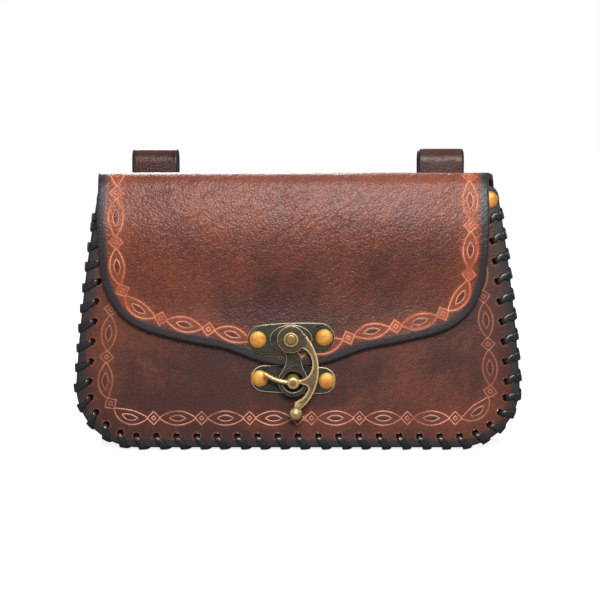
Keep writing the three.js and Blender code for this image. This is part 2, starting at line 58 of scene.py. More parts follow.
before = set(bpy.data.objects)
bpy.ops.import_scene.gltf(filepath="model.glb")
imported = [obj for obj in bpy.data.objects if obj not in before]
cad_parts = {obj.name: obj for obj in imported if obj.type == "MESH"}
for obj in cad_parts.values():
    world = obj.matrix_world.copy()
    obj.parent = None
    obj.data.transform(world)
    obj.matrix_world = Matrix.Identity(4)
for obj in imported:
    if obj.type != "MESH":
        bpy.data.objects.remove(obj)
CAD_BOX = [list(corner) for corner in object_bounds()]

# Shapes are worked out in millimetres and become metres when a mesh is finished.
MM = 0.001


def low(node):
    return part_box(node)[0] / MM


def high(node):
    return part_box(node)[1] / MM


def centre(node):
    return (low(node) + high(node)) / 2


# outer faces and heights of the main leather pieces
FRONT_Y = low("front_panel").y
BACK_Y = high("back_panel_flap").y
FLAP_Y = low("back_panel_flap").y
EDGE_BOTTOM = low("front_panel").z
PANEL_TOP = high("front_panel").z
FOLD_TOP = high("back_panel_flap").z
STRAP_TOP = high("belt_loop_left").z
STRAP_OUTER_Y = high("belt_loop_left").y
PIVOT = centre("clasp_pivot")
POST = centre("clasp_post")
LEVER_MID_Y = centre("clasp_lever").y


# ---------------------------------------------------------------- sizes and colours


def length_prop(name, description, default):
    return FloatProperty(name=name, description=description, default=default, unit="LENGTH", precision=5)


def colour_prop(name, description, default):
    return FloatVectorProperty(
        name=name, description=description, default=default, subtype="COLOR", size=3, min=0, max=1
    )


class PouchSizes(bpy.types.PropertyGroup):
    """Sizes of the pouch's leather, lacing, border and camera"""

    leather: length_prop("Leather", "Thickness of the panels, the flap and the straps", 0.003)
    gusset: length_prop("Gusset leather", "Thickness of the gusset", 0.0014)
    edge_round: length_prop("Edge rounding", "How far the burnished edges are rounded", 0.0009)
    relief: length_prop("Relief", "How far the leather waves in and out", 0.00042)
    lace_width: length_prop("Lace width", "Width of the flat thong", 0.0032)
    lace_thickness: length_prop("Lace thickness", "Thickness of the flat thong", 0.00105)
    lace_pitch: length_prop("Lace pitch", "Distance between two lace holes", 0.01)
    hole_inset: length_prop("Hole inset", "Distance of the lace holes from the edge", 0.0068)
    hole_radius: length_prop("Hole radius", "Radius of a lace hole", 0.0017)
    border_pitch: length_prop("Border pitch", "Distance between two diamonds of the border", 0.0235)
    border_line: length_prop("Border line", "Radius of the border's raised lines", 0.0002)
    panel_border: length_prop("Panel border", "Distance of the border from a laced side", 0.0142)
    panel_border_low: length_prop("Panel border, low", "Distance of the border from the bottom edge", 0.0148)
    flap_border: length_prop("Flap border", "Distance of the border from the flap's sides", 0.0092)
    camera_distance: length_prop("Camera distance", "From the camera to the front panel", 0.55)
    camera_height: length_prop("Camera height", "Height of the camera above the floor", 0.13)


class PouchColours(bpy.types.PropertyGroup):
    """Colours of the pouch's leather, lace and metal"""

    leather_dark: colour_prop("Leather, dark", "Darkest dye of the panels", (0.039, 0.0106, 0.0072))
    leather_mid: colour_prop("Leather, middle", "Middle tone of the panels", (0.1, 0.0235, 0.0108))
    leather_warm: colour_prop("Leather, warm", "Rubbed, warm tone of the panels", (0.18, 0.039, 0.0155))
    halo: colour_prop("Border halo", "Warm tone round the tooled border", (0.32, 0.067, 0.02))
    edge: colour_prop("Edge dye", "Burnished edge of the leather", (0.016, 0.012, 0.013))
    line: colour_prop("Border line", "Raised lines of the tooled border", (0.72, 0.33, 0.22))
    flesh: colour_prop("Inner side", "Undyed inner side of the leather", (0.85, 0.15, 0.05))
    gusset: colour_prop("Gusset", "Leather of the gusset", (0.12, 0.048, 0.028))
    strap: colour_prop("Straps", "Leather of the belt loops", (0.046, 0.0125, 0.0085))
    thong: colour_prop("Thong", "Leather thong of the lacing", (0.006, 0.0055, 0.0065))
    rivet_brass: colour_prop("Rivet brass", "Brass of the rivets", (0.56, 0.3, 0.06))
    aged_dark: colour_prop("Aged brass, dark", "Dark finish of the clasp", (0.02, 0.0205, 0.016))
    aged_light: colour_prop("Aged brass, worn", "Brass where the clasp's finish is worn", (0.6, 0.48, 0.29))
    steel: colour_prop("Dark steel", "Pins of the belt loops", (0.09, 0.075, 0.06))
    floor: colour_prop("Floor", "Plain floor under the pouch", (0.22, 0.22, 0.22))


def sizes():
    return bpy.context.scene.pouch_sizes


def colours():
    return bpy.context.scene.pouch_colours


def mm(name):
    """One of the sizes, in millimetres"""
    return getattr(sizes(), name) / MM


# ---------------------------------------------------------------- lines in a plane


def bezier(controls, count):
    """Points along a Bezier curve of any degree"""
    points = []
    for i in range(count + 1):
        share = i / count
        level = [Vector(c) for c in controls]
        while len(level) > 1:
            level = [a.lerp(b, share) for a, b in zip(level, level[1:])]
        points.append(level[0])
    return points


def arc(middle, radius, start, end, count):
    """Points along an arc, with its angles in degrees"""
    points = []
    for i in range(count + 1):
        angle = math.radians(start + (end - start) * i / count)
        points.append(Vector((middle[0] + radius * math.cos(angle), middle[1] + radius * math.sin(angle))))
    return points


def straight(a, b, count):
    return [Vector(a).lerp(Vector(b), i / count) for i in range(count + 1)]


def joined(*parts):
    """Parts of a line, end to end, without the points they share"""
    points = []
    for part in parts:
        for p in part:
            if not points or (p - points[-1]).length > 1e-4:
                points.append(Vector(p))
    return points


def divided(points, step):
    """The same closed outline with its long sides divided"""
    fine = []
    for a, b in zip(points, points[1:] + points[:1]):
        pieces = max(1, math.ceil((b - a).length / step))
        fine += [a.lerp(b, i / pieces) for i in range(pieces)]
    return fine


def smooth_share(value, start, end):
    share = min(1.0, max(0.0, (value - start) / (end - start)))
    return share * share * (3 - 2 * share)


class Run:
    """A line that is measured along, from its start, and away from, with outward on its right"""

    def __init__(self, points, closed=False):
        self.points = [Vector(p) for p in points]
        if closed:
            self.points.append(self.points[0].copy())
        self.closed = closed
        self.lengths = [0.0]
        for a, b in zip(self.points, self.points[1:]):
            self.lengths.append(self.lengths[-1] + (b - a).length)
        self.total = self.lengths[-1]
        spacing = 0.4
        count = max(2, int(self.total / spacing))
        self.marks = [i * self.total / count for i in range(count + 1)]
        self.tree = KDTree(len(self.marks))
        for i, mark in enumerate(self.marks):
            self.tree.insert(self.spot(mark).to_3d(), i)
        self.tree.balance()

    def spot(self, length):
        """The point at a length"""
        if self.closed:
            length %= self.total
        first, last = 0, len(self.lengths) - 1
        while last - first > 1:
            middle = (first + last) // 2
            if self.lengths[middle] <= length:
                first = middle
            else:
                last = middle
        span = self.lengths[last] - self.lengths[first]
        share = (length - self.lengths[first]) / span if span else 0.0
        return self.points[first].lerp(self.points[last], share)

    def at(self, length, reach=0.8):
        """The point at a length, its direction and its outward normal"""
        near, far = length - reach, length + reach
        if not self.closed:
            near, far = max(0.0, near), min(self.total, far)
        along = (self.spot(far) - self.spot(near)).normalized()
        return self.spot(length), along, Vector((along.y, -along.x))

    def locate(self, p):
        """The length of the nearest point, and how far inward of it the given point lies"""
        _, i, _ = self.tree.find(Vector((p[0], p[1], 0)))
        mark = self.marks[i]
        spot, along, outward = self.at(mark)
        away = Vector(p) - spot
        return mark + away.dot(along), -away.dot(outward)

    def beside(self, inward_at):
        """Another line that runs this far inward, given as a function of the length and the place"""
        count = int(self.total)
        points = []
        for i in range(count if self.closed else count + 1):
            length = i * self.total / count
            spot, _, outward = self.at(length, 2.0)
            points.append(spot - outward * inward_at(length, spot))
        return Run(points, self.closed)


# ---------------------------------------------------------------- outlines of the leather


CORNER_RADIUS = 30
CORNER_X = 78.6
SIDE_LEAN = 4.5
SIDE_BOW = 2.4
HOLES_NEARER_BELOW = 1.0
BOTTOM_STEPS, CORNER_STEPS, SIDE_STEPS = 60, 24, 44
# the panel's outer face and the way inward, half its width where the lacing ends, the height of that
# end, how far the gusset runs on past it, and where the first lace hole is
SEAMS = {
    "front": {"face": FRONT_Y, "inward": 1, "half": 97.0, "top": 121.5, "ear": 5.0, "start": 8.0},
    "back": {"face": BACK_Y, "inward": -1, "half": 101.3, "top": 115.0, "ear": 4.5, "start": 10.0},
}


def laced_edge(half, top):
    """The laced edge in x and z, from the left top, down, along the bottom and up to the right top"""
    middle = (CORNER_X, EDGE_BOTTOM + CORNER_RADIUS)
    corner = arc(middle, CORNER_RADIUS, -90, SIDE_LEAN, CORNER_STEPS)
    foot = corner[-1]
    bow = Vector(((half + foot.x) / 2 + SIDE_BOW, (top + foot.y) / 2))
    right = corner + bezier([foot, bow, (half, top)], SIDE_STEPS)[1:]
    left = [Vector((-p.x, p.y)) for p in reversed(right)]
    return left + straight(left[-1], right[0], BOTTOM_STEPS)[1:-1] + right


def hole_inset(along):
    """The lace holes lie a little nearer to the bottom edge than to the sides"""
    return mm("hole_inset") - HOLES_NEARER_BELOW * abs(along.x)


def prepare_seams():
    for seam in SEAMS.values():
        seam["edge"] = Run(laced_edge(seam["half"], seam["top"]))
        laced = seam["edge"].total - 2 * seam["start"]
        seam["stitches"] = round(laced / mm("lace_pitch"))
        seam["pitch"] = laced / seam["stitches"]
        seam["holes"] = []
        for i in range(seam["stitches"] + 1):
            spot, along, outward = seam["edge"].at(seam["start"] + i * seam["pitch"])
            seam["holes"].append(spot - outward * hole_inset(along))


# the fold: its round front and back, and how it tapers from the back to the flap
FOLD_FRONT_RADIUS = 7.5
FOLD_BACK_RADIUS = 14.0
BACK_HALF = 101.0
FLAP_HALF = {-1: 93.8, 1: 92.0}
FLAP_CENTRE = -1.3
FLAP_NOSE_RISE = 40.8
BACK_TURN = FOLD_TOP - FOLD_BACK_RADIUS
BACK_ARC = FOLD_BACK_RADIUS * math.pi / 2
FOLD_FLAT = BACK_Y - FOLD_BACK_RADIUS - (FLAP_Y + FOLD_FRONT_RADIUS)
FRONT_ARC = FOLD_FRONT_RADIUS * math.pi / 2
FOLD_START = BACK_TURN
FLAP_START = BACK_TURN + BACK_ARC + FOLD_FLAT + FRONT_ARC
FLAP_TOP_Z = FOLD_TOP - FOLD_FRONT_RADIUS
FOLD_MIDDLE = BACK_TURN + BACK_ARC + FOLD_FLAT / 2


def fold_line(t):
    """Where the back, the fold and the flap run: y, z and the outward direction at t, which is
    the height up the back, on over the fold and down the flap"""
    if t <= BACK_TURN:
        return BACK_Y, t, 1.0, 0.0
    t -= BACK_TURN
    if t <= BACK_ARC:
        angle = t / FOLD_BACK_RADIUS
        ny, nz = math.cos(angle), math.sin(angle)
        return BACK_Y - FOLD_BACK_RADIUS * (1 - ny), BACK_TURN + FOLD_BACK_RADIUS * nz, ny, nz
    t -= BACK_ARC
    if t <= FOLD_FLAT:
        return BACK_Y - FOLD_BACK_RADIUS - t, FOLD_TOP, 0.0, 1.0
    t -= FOLD_FLAT
    if t <= FRONT_ARC:
        angle = math.pi / 2 + t / FOLD_FRONT_RADIUS
        ny, nz = math.cos(angle), math.sin(angle)
        return FLAP_Y + FOLD_FRONT_RADIUS * (1 + ny), FLAP_TOP_Z + FOLD_FRONT_RADIUS * nz, ny, nz
    return FLAP_Y, FLAP_TOP_Z - (t - FRONT_ARC), -1.0, 0.0


def flap_side(half):
    """Half of the flap's outline, from the fold down its side and round to the nose, in x and z"""
    nose = low("back_panel_flap").z + FLAP_NOSE_RISE
    return joined(
        bezier([(half, FLAP_TOP_Z), (half + 0.9, 108), (half - 0.3, 92)], 20),
        bezier([(half - 0.3, 92), (half - 1.3, 64.6), (67, 58)], 30),
        bezier([(67, 58), (53, 54.2), (38, 51.7)], 14),
        bezier([(38, 51.7), (26, 49.6), (19, 42.4), (0, nose)], 24),
    )


def back_and_flap_outline():
    """The outline of the back and flap laid flat, in x and t, anticlockwise from the bottom left"""
    edge = SEAMS["back"]["edge"].points
    bottom = [p for p in edge if p.x > -CORNER_X - CORNER_RADIUS]
    sides = {-1: [], 1: []}
    steps = 30
    for side in sides:
        for i in range(steps + 1):
            t = FOLD_START + (FLAP_START - FOLD_START) * i / steps
            y = fold_line(t)[0]
            share = (BACK_Y - y) / (BACK_Y - FLAP_Y)
            half = BACK_HALF + (FLAP_HALF[side] - BACK_HALF) * share
            sides[side].append(Vector((FLAP_CENTRE * share + side * half, t)))
        for p in flap_side(FLAP_HALF[side])[1:]:
            sides[side].append(Vector((FLAP_CENTRE + side * p.x, FLAP_START + FLAP_TOP_Z - p.y)))
    sides[-1].reverse()
    return joined(bottom, sides[1], sides[-1])


def front_outline():
    """The outline of the front panel, in x and z, anticlockwise from the left top of its lacing"""
    seam = SEAMS["front"]
    half, top, corner = seam["half"], seam["top"], 8
    right = bezier([(half, top), (half, PANEL_TOP), (half - corner, PANEL_TOP)], 12)
    left = [Vector((-p.x, p.y)) for p in reversed(right)]
    return joined(seam["edge"].points, right, left)[:-1]


# ---------------------------------------------------------------- meshes


def evaluated_bmesh(bm, add_modifiers):
    """The mesh with modifiers applied to it"""
    mesh = bpy.data.meshes.new("working")
    bm.to_mesh(mesh)
    bm.free()
    worker = bpy.data.objects.new("working", mesh)
    bpy.context.scene.collection.objects.link(worker)
    add_modifiers(worker)
    graph = bpy.context.evaluated_depsgraph_get()
    graph.update()
    result = bmesh.new()
    result.from_mesh(worker.evaluated_get(graph).to_mesh())
    bpy.data.objects.remove(worker)
    bpy.data.meshes.remove(mesh)
    return result


def cut_away(bm, cutter):
    """The mesh without the space of another, closed one"""
    tool_mesh = bpy.data.meshes.new("cutter")
    bmesh.ops.recalc_face_normals(cutter, faces=cutter.faces)
    cutter.to_mesh(tool_mesh)
    cutter.free()
    tool = bpy.data.objects.new("cutter", tool_mesh)
    bpy.context.scene.collection.objects.link(tool)

    def boolean(worker):
        modifier = worker.modifiers.new("holes", "BOOLEAN")
        modifier.operation = "DIFFERENCE"
        modifier.solver = "MANIFOLD"
        modifier.object = tool

    result = evaluated_bmesh(bm, boolean)
    bpy.data.objects.remove(tool)
    bpy.data.meshes.remove(tool_mesh)
    return result


def rod_cutter(spots, radius, reach, turn=Matrix()):
    """Round rods through a flat sheet at the given spots"""
    cutter = bmesh.new()
    for x, t in spots:
        bmesh.ops.create_cone(
            cutter, cap_ends=True, segments=14, radius1=radius, radius2=radius, depth=reach,
            matrix=turn @ Matrix.Translation((x, t, 0)),
        )
    return cutter


def flat_face(bm, outline, holes=()):
    """One flat region at w = 0, in the plane of x and t, with holes left out of it"""
    edges = []
    for loop in [outline, *holes]:
        corners = [bm.verts.new((p[0], p[1], 0)) for p in loop]
        edges += [bm.edges.new((a, b)) for a, b in zip(corners, corners[1:] + corners[:1])]
    if holes:
        bmesh.ops.triangle_fill(bm, use_beauty=True, use_dissolve=False, edges=edges, normal=(0, 0, 1))
    else:
        bmesh.ops.contextual_create(bm, geom=edges)


def slab(outline, thickness, rim, rounding, holes=(), x_cuts=(), t_cuts=()):
    """A flat sheet with rounded edges, from w = 0 on its outer side to its thickness. A rim of even
    width runs round it, and inside the rim it is divided at the given places"""
    bm = bmesh.new()
    flat_face(bm, outline, holes)
    mark = bm.faces.layers.int.new("rim_face")
    made = bmesh.ops.inset_region(
        bm, faces=bm.faces[:], thickness=rim, use_even_offset=True, use_boundary=True
    )
    for face in made["faces"]:
        face[mark] = 1
    for normal, cuts in (((1, 0, 0), x_cuts), ((0, 1, 0), t_cuts)):
        for cut in cuts:
            core = [f for f in bm.faces if not f[mark]]
            geom = core + list({e for f in core for e in f.edges}) + list({v for f in core for v in f.verts})
            bmesh.ops.bisect_plane(
                bm, geom=geom, dist=1e-4, plane_co=Vector(normal) * cut, plane_no=normal
            )
    made = bmesh.ops.extrude_face_region(bm, geom=bm.faces[:])
    moved = [v for v in made["geom"] if isinstance(v, bmesh.types.BMVert)]
    bmesh.ops.translate(bm, vec=(0, 0, thickness), verts=moved)
    bmesh.ops.recalc_face_normals(bm, faces=bm.faces)
    round_edges(bm, rounding)
    return bm


def round_edges(bm, rounding):
    """Rounds the edges that are sharper than 50 degrees"""
    rims = [e for e in bm.edges if len(e.link_faces) == 2 and e.calc_face_angle() > math.radians(50)]
    bmesh.ops.bevel(
        bm,
        geom=rims,
        offset=rounding,
        offset_type="OFFSET",
        segments=3,
        profile=0.5,
        affect="EDGES",
        clamp_overlap=True,
        material=-1,
    )


def spun(bm, profile, middle, axis=(0, 1, 0), steps=36):
    """Turns a profile of (radius, distance along the axis) pairs about a line through the middle"""
    axis = Vector(axis)
    side = Vector((1, 0, 0))
    corners = [bm.verts.new(Vector(middle) + side * r + axis * d) for r, d in profile]
    edges = [bm.edges.new((a, b)) for a, b in zip(corners, corners[1:])]
    bmesh.ops.spin(
        bm, geom=corners + edges, cent=middle, axis=axis, dvec=(0, 0, 0),
        angle=math.tau, steps=steps, use_merge=True, use_duplicate=False,
    )
    bmesh.ops.remove_doubles(bm, verts=bm.verts, dist=1e-4)


def swept(bm, spots, normals, sections):
    """A closed tube through the spots. Each section is a ring of (across, out) offsets"""
    rings, around = len(spots), len(sections[0])
    tube = bmesh.new()
    bmesh.ops.create_grid(tube, x_segments=around, y_segments=rings - 1, size=0.5)
    places = []
    for i, (spot, normal) in enumerate(zip(spots, normals)):
        along = (spots[min(i + 1, rings - 1)] - spots[max(i - 1, 0)]).normalized()
        across = along.cross(normal).normalized()
        out = across.cross(along)
        places.append([spot + across * a + out * b for a, b in sections[i]])
    for v in tube.verts:
        i = round((v.co.y + 0.5) * (rings - 1))
        k = round((v.co.x + 0.5) * around) % around
        v.co = places[i][k]
    bmesh.ops.remove_doubles(tube, verts=tube.verts, dist=1e-5)
    ends = [e for e in tube.edges if e.is_boundary]
    bmesh.ops.holes_fill(tube, edges=ends, sides=0)
    bmesh.ops.recalc_face_normals(tube, faces=tube.faces)
    absorb(bm, tube)


def absorb(bm, other):
    """Adds another mesh to this one"""
    carrier = bpy.data.meshes.new("carrier")
    other.to_mesh(carrier)
    other.free()
    bm.from_mesh(carrier)
    bpy.data.meshes.remove(carrier)


def between(controls, steps):
    """A smooth line through the control points, which are vectors of any one size"""
    line = []
    last = len(controls) - 1
    for i in range(last):
        p0, p1 = controls[max(i - 1, 0)], controls[i]
        p2, p3 = controls[i + 1], controls[min(i + 2, last)]
        for k in range(steps):
            u = k / steps
            line.append(
                p1 + (p2 - p0) * (0.5 * u) + (p0 * 2 - p1 * 5 + p2 * 4 - p3) * (0.5 * u * u)
                + (p1 * 3 - p0 - p2 * 3 + p3) * (0.5 * u * u * u)
            )
    line.append(controls[last].copy())
    return line


def set_facts(bm, facts_at):
    """Writes what the finish needs to know at each point as attributes"""
    names = list(facts_at(Vector((0, 0, 0))))
    layers = {name: bm.verts.layers.float.new(name) for name in names}
    for v in bm.verts:
        for name, value in facts_at(v.co).items():
            v[layers[name]] = value


def finished(bm, name, materials, nodes=(), body="pouch", sharp=42):
    """Makes the mesh a piece of the pouch, in metres"""
    bmesh.ops.scale(bm, vec=(MM, MM, MM), verts=bm.verts)
    bm.normal_update()
    mesh = bpy.data.meshes.new(name)
    bm.to_mesh(mesh)
    bm.free()
    mesh.shade_smooth()
    mesh.set_sharp_from_angle(angle=math.radians(sharp))
    for material in materials:
        mesh.materials.append(material)
    piece = bpy.data.objects.new(name, mesh)
    bpy.context.scene.collection.objects.link(piece)
    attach(piece, body)
    if nodes:
        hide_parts(*nodes)
    return piece


# ---------------------------------------------------------------- how the leather lies


FLAP_SWELL = 3.8
STRAP_X = 74


def ripple(x, t, seed):
    """Slow waves of the leather, from -1 to 1"""
    wide = noise.noise(Vector((x / 42, t / 42, seed)))
    narrow = noise.noise(Vector((x / 15, t / 15, seed + 9)))
    return 0.8 * wide + 0.22 * narrow


def clasp_calm(x, z):
    """0 where the clasp's metal lies flat on the leather, 1 away from it"""
    middle = (PIVOT + POST) / 2
    away = Vector(((x - middle.x) / 27, (z - middle.z) / 22)).length
    return smooth_share(away, 0.85, 1.35)


def flap_belly(z):
    """How far the flap swells out between the fold and the clasp"""
    below = FOLD_TOP - z
    return FLAP_SWELL * smooth_share(below, -5, 27) * (1 - smooth_share(below, 27, 68))


def back_and_flap_place(x, t, w):
    """From the flat sheet to the bent one"""
    y, z, ny, nz = fold_line(t)
    calm = 1.0
    if t > FLAP_START:
        calm = clasp_calm(x, z)
    elif t < FOLD_START:
        under_strap = abs(abs(x) - STRAP_X) < 14
        calm = (smooth_share(t, 112, 118) * 0.6 + 0.4) * (0.35 if under_strap else 1.0)
    wave = mm("relief") * ripple(x, t, 3.1) * calm
    if t > FOLD_MIDDLE:
        wave += flap_belly(z) * smooth_share(t, FOLD_MIDDLE, FLAP_START)
    return Vector((x, y - ny * (w - wave), z - nz * (w - wave)))


def front_place(x, t, w):
    wave = mm("relief") * ripple(x, t, 7.7) * clasp_calm(x, t)
    edge_pull = 1 - smooth_share(SEAMS["front"]["edge"].locate((x, t))[1], 2, 9)
    return Vector((x, FRONT_Y + w - wave * (1 - edge_pull), t))


# ---------------------------------------------------------------- the tooled border


# half lengths and half heights of the border's lens and of the eye in it, and half sizes of the
# diamond and of the stud in it
LENS_HALF = (9.1, 3.5)
EYE_HALF = (4.0, 1.45)
DIAMOND = 3.3
STUD = 1.1


class Border:
    """A tooled border along a line: lenses with a diamond between each two. Each stretch has the
    length of one diamond, a direction, and the first and last diamond counted from that one"""

    def __init__(self, run, stretches, split_at):
        self.run = run
        self.stretches = stretches
        self.split_at = split_at

    def phase(self, length):
        """How many pitches a length is past a diamond. A closed line's lengths start again"""
        zero, direction, _, _ = self.stretches[self.split_at(length)]
        away = length - zero
        if self.run.closed:
            lap = self.run.total
            away = (away + lap / 2) % lap - lap / 2
        return direction * away / mm("border_pitch")

    def motifs(self):
        """Closed loops of (length, outward) points"""
        pitch = mm("border_pitch")
        for zero, direction, first, last in self.stretches:
            for k in range(first, last + 1):
                middle = zero + direction * pitch * k
                for half in (DIAMOND, STUD):
                    yield self.loop([(half, 0), (0, half), (-half, 0), (0, -half)], middle, 3)
                if k == last:
                    continue
                middle += direction * pitch / 2
                for long, tall in (LENS_HALF, EYE_HALF):
                    side = [(long * s, tall * (1 - s * s)) for s in [i / 8 - 1 for i in range(17)]]
                    yield self.loop(side + [(-a, -c) for a, c in side[1:-1]], middle, 1)

    def loop(self, corners, middle, steps):
        points = []
        for (a, c), (b, d) in zip(corners, corners[1:] + corners[:1]):
            for share in [i / steps for i in range(steps)]:
                points.append((middle + a + (b - a) * share, c + (d - c) * share))
        return points


def border_piece(name, border, place, rubbed):
    """The border's raised lines, as fine rounded ridges half sunk in the leather. rubbed gives how
    far they are rubbed pale at a place"""
    line = bpy.data.curves.new(name, "CURVE")
    line.dimensions = "3D"
    line.bevel_depth = mm("border_line") * MM
    line.bevel_resolution = 1
    for loop in border.motifs():
        spline = line.splines.new("POLY")
        spline.points.add(len(loop) - 1)
        spline.use_cyclic_u = True
        for point, (length, outward) in zip(spline.points, loop):
            spot, _, normal = border.run.at(length, 1.5)
            x, t = spot + normal * outward
            point.co = (*(place(x, t, 0.02) * MM), 1)
    holder = bpy.data.objects.new(name + "_line", line)
    bpy.context.scene.collection.objects.link(holder)
    graph = bpy.context.evaluated_depsgraph_get()
    graph.update()
    bm = bmesh.new()
    bm.from_mesh(holder.evaluated_get(graph).to_mesh())
    bpy.data.objects.remove(holder)
    bmesh.ops.scale(bm, vec=(1 / MM, 1 / MM, 1 / MM), verts=bm.verts)
    bmesh.ops.recalc_face_normals(bm, faces=bm.faces)
    set_facts(bm, lambda co: {"rubbed": rubbed(co)})
    finished(bm, name, [border_line_leather()], sharp=80)


# ---------------------------------------------------------------- node wiring


class Wiring:
    """Adds nodes to one node tree"""

    def __init__(self, tree):
        self.tree = tree

    def node(self, kind, inputs=None, **settings):
        made = self.tree.nodes.new(kind)
        for key, value in settings.items():
            setattr(made, key, value)
        for key, value in (inputs or {}).items():
            self.put(made.inputs[key], value)
        return made

    def put(self, socket, value):
        if isinstance(value, bpy.types.NodeSocket):
            self.tree.links.new(value, socket)
        else:
            socket.default_value = value

    def math(self, operation, a, b=0.0, clamp=False):
        return self.node("ShaderNodeMath", {0: a, 1: b}, operation=operation, use_clamp=clamp).outputs[0]

    def times(self, a, b):
        return self.math("MULTIPLY", a, b)

    def plus(self, a, b, clamp=False):
        return self.math("ADD", a, b, clamp)

    def minus(self, a, b):
        return self.math("SUBTRACT", a, b)

    def larger(self, a, b):
        return self.math("MAXIMUM", a, b)

    def weighted(self, *parts):
        """The sum of values, each given with its weight"""
        total = 0.0
        for value, weight in parts:
            total = self.plus(total, self.times(value, weight))
        return total

    def ease(self, value, start, end, low_value=0.0, high_value=1.0):
        inputs = {
            "Value": value, "From Min": start, "From Max": end, "To Min": low_value, "To Max": high_value,
        }
        return self.node("ShaderNodeMapRange", inputs, interpolation_type="SMOOTHSTEP").outputs[0]

    def mix(self, share, a, b):
        return self.node("ShaderNodeMix", {0: share, 6: a, 7: b}, data_type="RGBA").outputs[2]

    def noise(self, vector, scale, detail=4.0, roughness=0.55, distortion=0.0):
        inputs = {
            "Vector": vector, "Scale": scale, "Detail": detail, "Roughness": roughness,
            "Distortion": distortion,
        }
        return self.node("ShaderNodeTexNoise", inputs).outputs["Fac"]

    def place(self, vector, scale, turn=(0, 0, 0)):
        """The place, turned and then stretched by the given lengths"""
        inputs = {"Vector": vector, "Scale": scale, "Rotation": tuple(math.radians(a) for a in turn)}
        return self.node("ShaderNodeMapping", inputs, vector_type="TEXTURE").outputs[0]

    def fact(self, name):
        return self.node("ShaderNodeAttribute", attribute_name=name, attribute_type="GEOMETRY").outputs["Fac"]

    def group(self, group, inputs):
        made = self.node("ShaderNodeGroup")
        made.node_tree = group
        for key, value in inputs.items():
            self.put(made.inputs[key], value)
        return made.outputs


def rgba(colour, factor=1.0):
    return (*(factor * v for v in colour), 1.0)


def tinted(colour, tint):
    return [v * t for v, t in zip(colour, tint)]


def node_group(name, inputs, outputs, fill):
    """A shader node group, built once. fill gets its wiring and inputs and gives its outputs"""
    if name in bpy.data.node_groups:
        return bpy.data.node_groups[name]
    group = bpy.data.node_groups.new(name, "ShaderNodeTree")
    for label, kind in inputs.items():
        group.interface.new_socket(label, in_out="INPUT", socket_type=kind)
    for label, kind in outputs.items():
        group.interface.new_socket(label, in_out="OUTPUT", socket_type=kind)
    w = Wiring(group)
    source = w.node("NodeGroupInput")
    w.node("NodeGroupOutput", fill(w, source.outputs))
    return group


FLOAT, VECTOR = "NodeSocketFloat", "NodeSocketVector"


def leather_grain():
    """Soft pebbles and slanting ripples of leather, as a height from 0 to about 1"""

    def fill(w, source):
        vector = source["Vector"]
        bend = w.node("ShaderNodeTexNoise", {"Vector": vector, "Scale": 300.0, "Detail": 2.0})
        offset = w.node("ShaderNodeVectorMath", {0: bend.outputs["Color"]}, operation="SCALE")
        w.put(offset.inputs["Scale"], 0.0016)
        warped = w.node("ShaderNodeVectorMath", {0: vector, 1: offset.outputs[0]}, operation="ADD").outputs[0]
        cells = w.node("ShaderNodeTexVoronoi", {"Vector": warped, "Scale": source["Scale"]}, feature="F1")
        pebble = w.ease(cells.outputs["Distance"], 0.1, 0.8, 1.0, 0.0)
        wave = w.noise(w.place(warped, (1.0, 1.0, 2.7), (0, 47, 0)), 400.0, 2.0, 0.45, 0.4)
        patch = w.ease(w.noise(vector, 30.0, 3.0), 0.38, 0.62, 0.45, 1.0)
        long = w.noise(w.place(warped, (1.0, 1.0, 3.2), (0, 52, 0)), 130.0, 3.0, 0.6)
        from_crease = w.math("ABSOLUTE", w.minus(long, 0.5))
        crease = w.times(w.ease(from_crease, 0.0, 0.022, 1.0, 0.0), w.minus(patch, 0.3))
        rippled = w.times(w.minus(w.times(wave, patch), w.times(crease, 0.3)), source["Creases"])
        fine = w.noise(vector, 2600.0, 3.0)
        height = w.plus(w.weighted((pebble, 0.22), (fine, 0.07)), rippled)
        valley = w.larger(w.ease(pebble, 0.05, 0.6, 1.0, 0.0), w.times(crease, source["Creases"]))
        return {"Height": height, "Valley": valley, "Fine": fine}

    inputs = {"Vector": VECTOR, "Scale": FLOAT, "Creases": FLOAT}
    return node_group("leather_grain", inputs, {"Height": FLOAT, "Valley": FLOAT, "Fine": FLOAT}, fill)


def dye_patina():
    """Uneven hand-rubbed dye: a tone from 0, dark, to 1, rubbed warm"""

    def fill(w, source):
        vector = source["Vector"]
        broad = w.noise(vector, 17.0, 3.0, 0.5)
        cloud = w.noise(vector, 62.0, 5.0, 0.6)
        mottle = w.noise(vector, 420.0, 4.0, 0.65)
        streak = w.noise(w.place(vector, (1.0, 1.0, 6.0), (0, 6, 0)), 240.0, 3.0)
        tone = w.weighted((broad, 0.9), (cloud, 0.6), (mottle, 0.3), (streak, 0.22))
        return {"Tone": w.ease(tone, 0.62, 1.4)}

    return node_group("dye_patina", {"Vector": VECTOR}, {"Tone": FLOAT}, fill)


